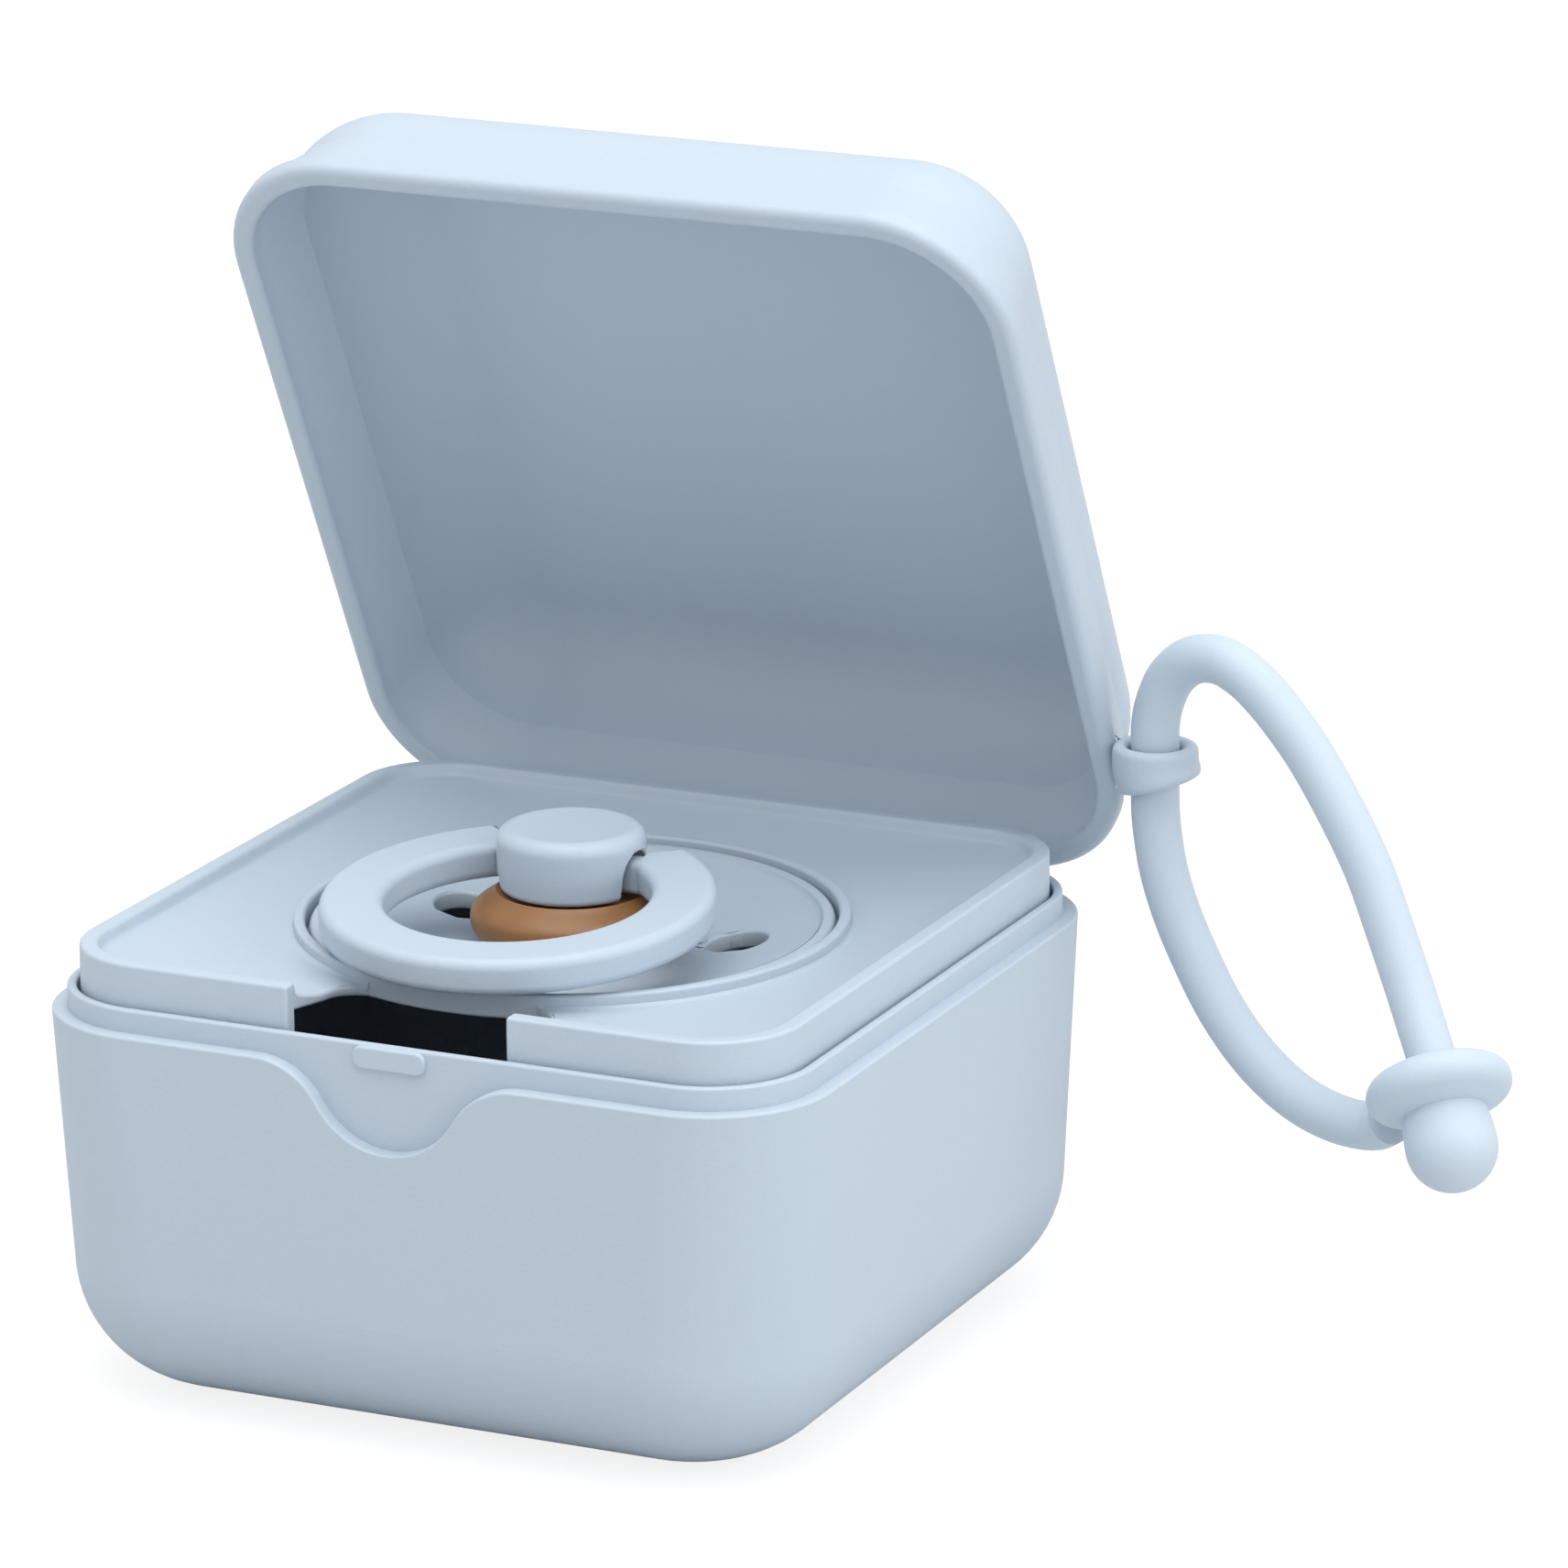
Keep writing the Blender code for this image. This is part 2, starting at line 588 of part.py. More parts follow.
def tray_rings():
    """The tray's skin as a loop: skirt, lip, dished deck, collar, seat step and underside."""
    outer = BAND_HALF - BAND_WIDTH - FIT_GAP
    corner = BASE_CORNER - (BASE_HALF - BAND_HALF) - BAND_WIDTH - FIT_GAP
    inner = outer - LIP_WIDTH
    inner_corner = corner - LIP_WIDTH
    skirt_z = SEAT_Z + FIT_GAP
    well = SHIELD_RADIUS + FIT_GAP + EDGE_ROUND / 6
    collar = well + COLLAR_WALL
    mouth = well - SEAT_STEP_WIDTH
    deck_edge = TRAY_TOP_Z - DECK_EDGE_DROP
    deck_well = TRAY_TOP_Z - DECK_WELL_DROP
    collar_foot = COLLAR_TOP_Z - COLLAR_HEIGHT
    rings = [
        square_ring(inner, inner_corner, skirt_z, TRAY_STEPS),
        square_ring(outer, corner, skirt_z, TRAY_STEPS),
        square_ring(outer, corner, TRAY_TOP_Z - EDGE_ROUND, TRAY_STEPS),
        square_ring(outer - EDGE_ROUND, corner - EDGE_ROUND, TRAY_TOP_Z, TRAY_STEPS),
        square_ring(inner + EDGE_ROUND, inner_corner + EDGE_ROUND, TRAY_TOP_Z, TRAY_STEPS),
        square_ring(inner, inner_corner, TRAY_TOP_Z - EDGE_ROUND, TRAY_STEPS),
        square_ring(inner - EDGE_ROUND, inner_corner - EDGE_ROUND, deck_edge, TRAY_STEPS),
    ]
    for share in DECK_SHARES:
        half = inner + (collar + EDGE_ROUND - inner) * share
        bend = inner_corner + (collar + EDGE_ROUND - inner_corner) * share
        level = deck_edge + (deck_well - deck_edge) * math.sin(math.pi / 2 * share)
        rings.append(square_ring(half, bend, level, TRAY_STEPS))
    rings += [
        round_ring(collar + EDGE_ROUND, deck_well),
        round_ring(collar, deck_well + EDGE_ROUND),
        round_ring(collar, COLLAR_TOP_Z - EDGE_ROUND),
        round_ring(collar - EDGE_ROUND, COLLAR_TOP_Z),
        round_ring(well + EDGE_ROUND, COLLAR_TOP_Z),
        round_ring(well, COLLAR_TOP_Z - EDGE_ROUND),
        round_ring(well, SEAT_STEP_Z),
        round_ring(mouth, SEAT_STEP_Z),
        round_ring(mouth, SEAT_STEP_Z - SEAT_STEP_THICKNESS),
        round_ring(collar + EDGE_ROUND, collar_foot),
        square_ring(inner, inner_corner, deck_edge - DECK_THICKNESS, TRAY_STEPS),
    ]
    return rings, collar, skirt_z, outer


def slot_outline(collar, outer):
    """The finger slot from above: its sides flare inwards to meet the collar."""
    inset = SLOT_HALF - SLOT_FLARE
    back = math.sqrt((collar + SLOT_FLARE - FIT_GAP / 6) ** 2 - inset**2)
    turn = math.degrees(math.atan2(back, inset))
    right = [(SLOT_HALF, -outer - OVERRUN), *arc((inset, -back), SLOT_FLARE, 0, 180 - turn, FILLET_STEPS)]
    right.append((inset / 2, -collar * SLOT_DEPTH_SHARE))
    return right + [(-x, y) for x, y in right[::-1]]


def build_tray(paint):
    rings, collar, skirt_z, outer = tray_rings()
    tray = add_mesh("tray", loft(rings, loop=True), paint)
    slot = prism(slot_outline(collar, outer), along_z, skirt_z - OVERRUN, TRAY_TOP_Z + OVERRUN)
    slot_cut = add_mesh("tray_slot_cut", slot)
    guard_ring = round_ring(collar, skirt_z - OVERRUN * 2)
    guard = prism([(p.x, p.y) for p in guard_ring], along_z, skirt_z - OVERRUN * 2, TRAY_TOP_Z + OVERRUN * 2)
    cut(slot_cut, add_mesh("collar_guard", guard))
    cut(tray, slot_cut)


def strap_points():
    """The strap's centreline: a smooth curve from the disc's edge, through the eye and round to the ball."""
    tail = DISC_TAIL - DISC_AXIS * DISC_TAIL.dot(DISC_AXIS)
    start = DISC_CENTRE + tail.normalized() * (DISC_RADIUS + FIT_GAP * 2)
    ball = DISC_CENTRE - DISC_AXIS * BALL_DISTANCE
    end = ball + DISC_AXIS * (BALL_RADIUS * BALL_TOP_SHARE + FIT_GAP)
    above = DISC_CENTRE + DISC_AXIS * DISC_THICKNESS / 2
    route = [start, *[Vector(point) for point in STRAP_ROUTE], above, end]
    padded = [route[0] * 2 - route[1], *route, route[-1] * 2 - route[-2]]
    points = []
    for before, a, b, after in zip(padded, padded[1:], padded[2:], padded[3:]):
        for step in range(STRAP_STEPS):
            t = step / STRAP_STEPS
            bend = 2 * a - 2 * b + (b - before) / 2 + (after - a) / 2
            lean = 3 * (b - a) - (b - before) - (after - a) / 2
            points.append(a + (b - before) / 2 * t + lean * t * t + bend * t * t * t)
    points.append(route[-1])
    return points[::2] if len(points) % 2 else [*points[::2], points[-1]]


def build_strap(paint, eye):
    """The strap's three forms, all carried by an empty in the eye."""
    swivel = bpy.data.objects.new("strap_swivel", None)
    swivel.location = eye
    bpy.context.scene.collection.objects.link(swivel)
    curve = bpy.data.curves.new("strap_cord", "CURVE")
    curve.dimensions = "3D"
    curve.bevel_depth = STRAP_DIAMETER / 2
    curve.bevel_resolution = 3
    curve.use_fill_caps = True
    points = strap_points()
    spline = curve.splines.new("POLY")
    spline.points.add(len(points) - 1)
    for knot, point in zip(spline.points, points):
        knot.co = (*(point - eye), 1.0)
    curve.materials.append(paint)
    cord = bpy.data.objects.new("strap_cord", curve)
    cord.parent = swivel
    bpy.context.scene.collection.objects.link(cord)

    turn = Vector((0.0, 0.0, 1.0)).rotation_difference(DISC_AXIS).to_euler()
    half = DISC_THICKNESS / 2
    hole_radius = STRAP_DIAMETER / 2 + FIT_GAP
    section = rounded_section((hole_radius, -half), (DISC_RADIUS, half), half * DISC_ROUND_SHARE, 4)
    disc = add_mesh("strap_eyelet", turned(section, loop=True), paint, DISC_CENTRE - eye)
    disc.rotation_euler = turn
    disc.parent = swivel
    top = BALL_RADIUS * BALL_TOP_SHARE
    shoulder = [(BALL_RADIUS * r, top * h) for r, h in BALL_SHOULDER_SHARES]
    profile = [(0.0, top), *shoulder, *arc((0.0, 0.0), BALL_RADIUS, 0, -90, 6)[:-1], (0.0, -BALL_RADIUS)]
    ball_centre = DISC_CENTRE - DISC_AXIS * BALL_DISTANCE
    ball = add_mesh("strap_ball", turned(profile, segments=24), paint, ball_centre - eye)
    ball.rotation_euler = turn
    ball.parent = swivel


def build_shield(paint):
    edge_low = SEAT_STEP_Z + FIT_GAP
    edge_top = edge_low + SHIELD_EDGE_HEIGHT
    centre_top = edge_top - SHIELD_DISH
    hole = TEAT_NECK_RADIUS + FIT_GAP
    bead = SHIELD_RADIUS - SHIELD_BEAD
    top = [(SHIELD_RADIUS * r, centre_top + SHIELD_DISH * h) for r, h in SHIELD_TOP_SHARES]
    low = [(SHIELD_RADIUS * r, centre_top - SHIELD_THICKNESS + SHIELD_DISH * h) for r, h in SHIELD_LOW_SHARES]
    profile = [
        (hole, centre_top - SHIELD_THICKNESS),
        *low,
        (bead + EDGE_ROUND, edge_low),
        (SHIELD_RADIUS - EDGE_ROUND, edge_low),
        (SHIELD_RADIUS, edge_low + EDGE_ROUND),
        (SHIELD_RADIUS, edge_top - EDGE_ROUND * 2),
        (SHIELD_RADIUS - EDGE_ROUND, edge_top - EDGE_ROUND / 2),
        (bead, edge_top),
        *top,
        (hole, centre_top),
    ]
    shield = add_mesh("pacifier_shield", turned(profile, loop=True), paint)
    for side, word in sides():
        outline = arc((side * VENT_X, VENT_Y), VENT_RADIUS, 0, 360, PIN_SEGMENTS)[:-1]
        vent = prism(outline, along_z, SEAT_Z, TRAY_TOP_Z)
        cut(shield, add_mesh("vent_cut_" + word, vent))
    return centre_top


def build_teat(paint, shield_top):
    """The rubber teat: a flange above the shield, a neck through it and a hollow bulb below."""
    flange_foot = shield_top + FIT_GAP * 2
    shield_low = shield_top - SHIELD_THICKNESS
    lip_top = shield_low - FIT_GAP
    bulb_height = lip_top - TEAT_TIP_Z
    flange_height = TEAT_TOP_Z - flange_foot
    bore = PLUG_RADIUS + FIT_GAP
    neck_bore = PLUG_HEAD_RADIUS + FIT_GAP
    bulb = [(TEAT_BULB_RADIUS * r, TEAT_TIP_Z + bulb_height * h) for r, h in BULB_SHARES]
    flange = [(TEAT_FLANGE_RADIUS * r, flange_foot + flange_height * h) for r, h in FLANGE_SHARES]
    hollow_radius = TEAT_BULB_RADIUS - TEAT_WALL
    hollow_z = TEAT_TIP_Z + TEAT_WALL
    hollow = [(hollow_radius * r, hollow_z + (bulb_height - TEAT_WALL) * h) for r, h in HOLLOW_SHARES]
    plug_seat = TEAT_TOP_Z - TEAT_WALL - FIT_GAP * 3
    profile = [
        (0.0, TEAT_TIP_Z),
        *bulb,
        (TEAT_NECK_RADIUS + TEAT_WALL, lip_top - EDGE_ROUND),
        (TEAT_NECK_RADIUS + TEAT_WALL - EDGE_ROUND, lip_top),
        (TEAT_NECK_RADIUS, lip_top),
        (TEAT_NECK_RADIUS, flange_foot),
        *flange,
        (TEAT_TOP_RADIUS, TEAT_TOP_Z),
        (bore, TEAT_TOP_Z),
        (bore, plug_seat),
        (neck_bore, plug_seat),
        (neck_bore, hollow[-1][1] + TEAT_WALL * 3),
        *hollow[::-1],
        (0.0, hollow_z),
    ]
    add_mesh("pacifier_teat", turned(profile, segments=32), paint)
    return plug_seat


def build_plug(paint, plug_seat, knob_low):
    """The plug that holds the teat to the knob, its head in the teat's neck."""
    head_top = plug_seat - FIT_GAP
    head_low = head_top - PLUG_HEAD_HEIGHT
    top = knob_low + PLUG_REACH
    profile = [
        (0.0, head_low),
        (PLUG_HEAD_RADIUS - EDGE_ROUND, head_low),
        (PLUG_HEAD_RADIUS, head_low + EDGE_ROUND),
        (PLUG_HEAD_RADIUS, head_top),
        (PLUG_RADIUS, head_top),
        (PLUG_RADIUS, top - EDGE_ROUND),
        (PLUG_RADIUS - EDGE_ROUND, top),
        (0.0, top),
    ]
    add_mesh("pacifier_plug", turned(profile, segments=PIN_SEGMENTS), paint)


def build_knob(paint, knob_low):
    low_radius = KNOB_RADIUS - KNOB_TAPER
    socket = PLUG_RADIUS + FIT_GAP
    socket_top = knob_low + PLUG_REACH + FIT_GAP
    round_z = KNOB_TOP_Z - KNOB_ROUND
    dish_radius, dish_depth = KNOB_DISH_SHARES
    profile = [
        (0.0, socket_top),
        (socket, socket_top),
        (socket, knob_low),
        (low_radius - EDGE_ROUND, knob_low),
        (low_radius, knob_low + EDGE_ROUND),
        *arc((KNOB_RADIUS - KNOB_ROUND, round_z), KNOB_ROUND, 0, 90, 4),
        (KNOB_RADIUS * dish_radius, KNOB_TOP_Z - KNOB_DISH * dish_depth),
        (0.0, KNOB_TOP_Z - KNOB_DISH),
    ]
    knob = add_mesh("pacifier_knob", turned(profile), paint)
    slot_floor = KNOB_RADIUS + FIT_GAP - STUB_LENGTH - FIT_GAP
    outline = arc((0.0, PIVOT_Z), KNOB_SLOT_RADIUS, 0, 180, 8)
    outline += [(-KNOB_SLOT_RADIUS, knob_low - OVERRUN), (KNOB_SLOT_RADIUS, knob_low - OVERRUN)]
    for side, word in sides():
        slot = prism(outline, along_x, side * slot_floor, side * (KNOB_RADIUS + OVERRUN))
        cut(knob, add_mesh("knob_slot_" + word, slot))


def build_ring(paint):
    """The ring handle, with its origin on the pivot axis, tilted down to the front."""
    half = RING_THICKNESS / 2
    section = rounded_section((RING_INNER, -half), (RING_OUTER, half), RING_ROUND)
    shape = turned(section, loop=True, segments=48)
    bmesh.ops.translate(shape, vec=(0.0, -RING_REACH, 0.0), verts=shape.verts)
    ring = add_mesh("pacifier_ring", shape, paint, (0.0, 0.0, PIVOT_Z))
    ring.rotation_euler = (RING_TILT, 0.0, 0.0)
    gap_half = KNOB_RADIUS + FIT_GAP
    gap = box((-gap_half, -RING_REACH / 2, -RING_THICKNESS), (gap_half, RING_OUTER, RING_THICKNESS))
    forms = [("ring_gap_cut", gap, cut)]
    for side, word in sides():
        chamfer_end = gap_half + RING_CHAMFER_RUN
        outline = (
            (side * gap_half / 2, RING_END_DEPTH),
            (side * gap_half, RING_END_DEPTH),
            (side * chamfer_end, RING_END_DEPTH + RING_CHAMFER_RISE),
            (side * chamfer_end, RING_OUTER),
            (side * gap_half / 2, RING_OUTER),
        )
        chamfer = prism(outline, along_z, -RING_THICKNESS, RING_THICKNESS)
        forms.append(("ring_end_cut_" + word, chamfer, cut))
    for side, word in sides():
        stub = rod_x(STUB_RADIUS, side * (gap_half - STUB_LENGTH), side * (gap_half + STUB_RADIUS))
        forms.append(("ring_stub_" + word, stub, join))
    for name, form, use in forms:
        helper = add_mesh(name, form)
        helper.parent = ring
        use(ring, helper)


def main():
    clear_scene()
    pale_blue = finish("pale_blue_plastic", PALE_BLUE, SATIN)
    soft_blue = finish("pale_blue_silicone", PALE_BLUE, SATIN + 0.1)
    amber = finish("amber_rubber", AMBER, SATIN)
    steel = finish("pin_steel", STEEL, 0.3, 1.0)
    build_base(pale_blue)
    build_pin(steel)
    lid = build_lid(pale_blue)
    build_tray(pale_blue)
    turn = Matrix.Rotation(lid.rotation_euler.x, 3, "X")
    eye = HINGE + turn @ Vector((EYE_X, -EYE_FORWARD, EYE_UP))
    build_strap(soft_blue, eye)
    shield_top = build_shield(pale_blue)
    plug_seat = build_teat(amber, shield_top)
    knob_low = TEAT_TOP_Z + FIT_GAP
    build_plug(pale_blue, plug_seat, knob_low)
    build_knob(pale_blue, knob_low)
    build_ring(pale_blue)


main()
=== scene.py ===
"""The looks of a small square pacifier box that stands open with its pacifier in the tray.

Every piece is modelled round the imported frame: metres, +Z up, the box's front towards -Y.
The lid's pieces are modelled closed and then turned open about the hinge.
"""

import math

import bmesh
import bpy
from bpy.props import FloatProperty, FloatVectorProperty, PointerProperty
from bpy.types import Operator, Panel, PropertyGroup
from mathutils import Matrix, Vector


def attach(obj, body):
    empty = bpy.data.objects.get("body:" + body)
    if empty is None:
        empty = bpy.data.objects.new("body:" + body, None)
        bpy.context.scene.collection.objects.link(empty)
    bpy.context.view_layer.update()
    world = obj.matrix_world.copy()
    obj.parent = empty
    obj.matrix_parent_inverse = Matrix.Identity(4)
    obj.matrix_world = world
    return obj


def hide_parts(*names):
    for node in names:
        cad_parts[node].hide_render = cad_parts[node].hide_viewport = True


bl_info = {
    "name": "Pacifier Box",
    "version": (1, 0, 0),
    "blender": (4, 5, 0),
    "location": "View3D > Sidebar > Pacifier Box",
    "description": "Models the shells, pacifier, strap and stage of a small pacifier box",
    "category": "Object",
}

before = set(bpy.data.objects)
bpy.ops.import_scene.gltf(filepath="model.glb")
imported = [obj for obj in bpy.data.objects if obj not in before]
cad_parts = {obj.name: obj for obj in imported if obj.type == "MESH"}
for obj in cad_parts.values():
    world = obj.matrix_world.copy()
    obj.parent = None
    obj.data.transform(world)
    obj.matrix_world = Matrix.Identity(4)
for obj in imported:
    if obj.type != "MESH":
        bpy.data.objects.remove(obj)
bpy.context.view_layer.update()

# Fineness of the meshes
CORNER_SEGMENTS = 20
ROUND_SEGMENTS = 96
ROD_SEGMENTS = 48
FILLET_SEGMENTS = 16
EDGE_SEGMENTS = 3
SMOOTH_ANGLE = math.radians(35)

# Tolerances, overruns and gaps, in metres; a loft's rings are first stacked from its foot, one rise apart
NEAR = 2e-6
HAIR = 1e-4
OVERRUN = 0.002
FIT_GAP = 0.0003
STACK_FOOT = 0.2
STACK_RISE = 0.02

# Names of the materials
PLASTIC = "pale_blue_plastic"
SILICONE = "pale_blue_silicone"
RUBBER = "amber_rubber"
STEEL = "pin_steel"

# The floor's glow, the glow's share and the floor's side, the camera's sensor in mm and its reach, and the lights,
# each with its name, place, side and power
FLOOR_GLOW = 1.2
FLOOR_SHARE = 0.7
FLOOR_SIZE = 6.0
SENSOR = 36.0
FAR_AWAY = 20.0
LIGHTS = (
    ("top_light", (0.1, -0.1, 0.9), 0.9, 6.4),
    ("right_light", (0.9, -0.1, 0.35), 0.7, 2.6),
    ("left_light", (-0.8, -0.5, 0.6), 0.7, 0.5),
)

# Shares of another size, such as the disc's round edge in half its height
NOTCH_BITE = 0.75
NUB_CORNER = 0.45
NUB_SOFT = 0.6
EYE_ROUND = 0.48
END_FLARE = (1.6, 2.1)
TONGUE_FRONT = 0.72
TONGUE_BACK = 0.9
TONGUE_CORNER = 0.42
DISC_EDGE = 0.92
BALL_NECK = 0.8
CORD_END = 0.86

# Fine details of the base, in metres
BASE_DRAFT = 0.0001
LOW_CORNER = 0.0134
BAND_STEP = 0.0013
BAND_WIDTH = 0.0008
SEAT_DROP = 0.00564
NUB_HEIGHT = 0.0018
NUB_PROUD = 0.0004
BASE_EDGE = 0.00025
NOTCH_SLOPE = math.radians(60.0)
GUSSET_LEAN = math.radians(36)

# Fine details of the tray, in metres; the shares are of the deck's way from the lip to the collar
DECK_SHARES = (0.12, 0.25, 0.38, 0.5, 0.62, 0.74, 0.87)
EDGE_DROP = 0.001
COLLAR = 0.00095
COLLAR_DROP = 0.0015
COLLAR_HEIGHT = 0.0021
STEP_DROP = 0.0019
STEP_WIDTH = 0.00095
STEP = 0.0007
DECK = 0.0014
LIP = 0.0015
WELL_DROP = 0.0026
SLOT_FLARE = 0.003
TRAY_EDGE = 0.0003

# Fine details of the lid, its hinge and its eye, in metres; the eye leans in degrees
CREASE = 0.00045
CREASE_HEIGHT = 0.0004
CREASE_STEPS = 6
RIM_ROUND = 0.0008
RIM_SOFT = 0.0005
LID_DRAFT = 0.00135
RIM = 0.002
HINGE_DROP = 0.00064
BEAD_CORNER = 0.0117
BEAD_HEIGHT = 0.0017
HINGE_BEHIND = 0.0015
PIN = 0.0009
GUSSET = 0.0055
LID_EDGE = 0.0003
EYE_WALL = 0.0013
EYE_HEIGHT = 0.0026
EYE_UP = 0.002
EYE_FORWARD = 0.01455
EYE_LEANS = (4, 8, 12, 16)
EYE_VOXEL = EYE_WALL / 11
EYE_SOFTENING = 14
ROOT_STEPS = 6
ROOT_WIDE = (0.003, 0.0014)
ROOT_TALL = (0.0022, -0.0036)
ROOT_DROP = 0.001
KNUCKLE_HALF = 0.0089

# Fine details of the pacifier, in metres
SHIELD_EDGE = 0.0011
DISH = 0.0028
VENT = 0.0026
RUBBER_TOP = 0.0382
PIVOT = 0.0403
RING_REACH = 0.01
PLATE = 0.0016
BEAD = 0.0012
BEAD_RISE = 0.00035
VENT_X = 0.0126
VENT_Y = 0.0052
NECK = 0.0055
FLANGE_TOP = 0.0056
RUBBER_TIP = 0.006
RUBBER_WALL = 0.0013
PLUG = 0.002
PLUG_HEAD = 0.0037
PLUG_REACH = 0.0029
KNOB_TAPER = 0.0002
KNOB_ROUND = 0.0012
KNOB_DISH = 0.0003
RING_ROUND = 0.0009
RING_END = 0.0013
TONGUE = 0.00145
TONGUE_REACH = 0.0025
KNOB_SLOT = 0.0021

# Route of the strap's centreline, from the disc's edge through the eye and round to the disc's top
STRAP_ROUTE = (
    (0.0626, 0.0225, 0.0192),
    (0.0594, 0.0238, 0.0188),
    (0.0558, 0.0251, 0.0193),
    (0.0525, 0.0263, 0.0206),
    (0.0493, 0.0275, 0.0227),
    (0.0464, 0.0285, 0.0256),
    (0.0440, 0.0294, 0.0289),
    (0.0418, 0.0302, 0.0326),
    (0.0403, 0.0307, 0.0363),
    (0.0395, 0.0310, 0.0401),
    (0.0393, 0.0311, 0.0430),
    (0.0393, 0.0311, 0.0459),
    (0.0393, 0.0311, 0.0488),
    (0.0398, 0.0310, 0.0511),
    (0.0409, 0.0308, 0.0533),
    (0.0429, 0.0303, 0.0550),
    (0.0455, 0.0297, 0.0555),
    (0.0480, 0.0291, 0.0547),
    (0.0502, 0.0286, 0.0532),
    (0.0524, 0.0282, 0.0511),
    (0.0548, 0.0277, 0.0484),
    (0.0578, 0.0269, 0.0443),
    (0.0604, 0.0262, 0.0401),
    (0.0626, 0.0252, 0.0358),
    (0.0645, 0.0241, 0.0322),
    (0.0661, 0.0229, 0.0294),
)
DISC_CENTRE = (0.06932, 0.01965, 0.02417)
DISC_AXIS = (-0.415, 0.495, 0.763)
STRAP_TAIL = (-0.0049, 0.0019, -0.0036)

# Outlines as shares of a widest radius and of a height
FLANGE_SHARES = (
    (0.82, 0.0), (0.89, 0.11), (0.952, 0.25), (0.99, 0.4), (1.0, 0.53),
    (0.985, 0.69), (0.94, 0.8), (0.87, 0.9), (0.79, 1.0), (0.745, 1.08),
)
BULB_SHARES = (
    (0.0, 0.0), (0.3, 0.006), (0.6, 0.03), (0.9, 0.1), (1.0, 0.21),
    (0.97, 0.31), (0.8, 0.52), (0.66, 0.72), (0.7, 0.87), (0.84, 0.95),
)
HOLLOW_SHARES = ((0.0, 0.0), (0.62, 0.035), (0.9, 0.12), (1.0, 0.22), (0.95, 0.32), (0.78, 0.52))
DISH_SHARES = ((0.6, 0.5), (0.3, 0.9), (0.0, 1.0))
UNDER_SHARES = ((0.0, 1.5), (0.25, 1.48), (0.42, 1.4), (0.6, 1.22))
DISC_TOP_SHARE = (0.35, 0.96)
STOP_SHARES = ((0.84, 1.0), (0.915, 0.8), (0.965, 0.55), (0.992, 0.25), (1.0, 0.0))


def length(name, description, default):
    return FloatProperty(name=name, description=description, default=default, unit="LENGTH", precision=5)


def angle(name, description, degrees):
    return FloatProperty(
        name=name, description=description, default=math.radians(degrees), subtype="ANGLE", unit="ROTATION"
    )


def colour(name, description, default):
    return FloatVectorProperty(
        name=name, description=description, default=default, subtype="COLOR", size=3, min=0.0, max=1.0
    )


class BaseSizes(PropertyGroup):
    """Sizes of the base and of the thumb notch in its front."""

    half: length("Half width", "Centre to the side wall, at the shoulder", 0.0344)
    corner: length("Corner", "Radius of the upright corners at the shoulder", 0.0103)
    fillet: length("Bottom fillet", "Radius between the wall and the underside", 0.0109)
    wall: length("Wall", "Thickness of the wall", 0.0032)
    floor: length("Floor", "Thickness of the floor", 0.002)
    shoulder: length("Shoulder height", "Height of the shoulder that the lid comes down on", 0.03264)
    band_height: length("Band height", "Height of the raised band", 0.00191)
    notch_depth: length("Notch depth", "Depth of the thumb notch below the shoulder", 0.0068)
    notch_radius: length("Notch radius", "Radius of the notch's round bottom", 0.00695)
    nub_width: length("Nub width", "Width of the snap nub", 0.0065)


class TraySizes(PropertyGroup):
    """Sizes of the tray that the pacifier lies in."""

    rise: length("Rise", "Height of the tray's lip above the shoulder", 0.00536)
    well: length("Well radius", "Radius of the round well for the shield", 0.02215)
    slot_half: length("Slot half width", "Half the width of the finger slot in the front", 0.0098)


class LidSizes(PropertyGroup):
    """Sizes of the lid, its hinge and its eye for the strap, drawn closed."""

    overhang: length("Overhang", "How far the rim's bead stands out past the base", 0.0012)
    straight: length("Straight", "Height of the wall below the top fillet", 0.0067)
    fillet: length("Top fillet", "Radius between the wall and the top", 0.0096)
    wall: length("Wall", "Thickness of the wall", 0.0018)
    opening: angle("Opening", "How far the lid stands open", 63.18)
    barrel: length("Barrel radius", "Radius of the hinge's knuckles", 0.0022)
    hinge_half: length("Hinge half length", "Half the length of the hinge", 0.018)
    eye_x: length("Eye place", "Centre of the box to the eye's centre", 0.0393)


class PacifierSizes(PropertyGroup):
    """Sizes of the pacifier: shield, rubber teat, knob and ring handle."""

    shield: length("Shield radius", "Radius of the shield", 0.0218)
    flange: length("Flange radius", "Widest radius of the rubber above the shield", 0.0085)
    bulb: length("Bulb radius", "Widest radius of the teat", 0.0078)
    knob: length("Knob radius", "Radius of the knob at its top", 0.0062)
    knob_top: length("Knob top", "Height of the knob's top", 0.0439)
    ring_outer: length("Ring outer radius", "Outer radius of the ring handle", 0.0163)
    ring_inner: length("Ring inner radius", "Inner radius of the ring handle", 0.011)
    ring_thick: length("Ring thickness", "Thickness of the ring handle", 0.0031)
    ring_tilt: angle("Ring tilt", "How far the ring leans down to the front", 4.0)


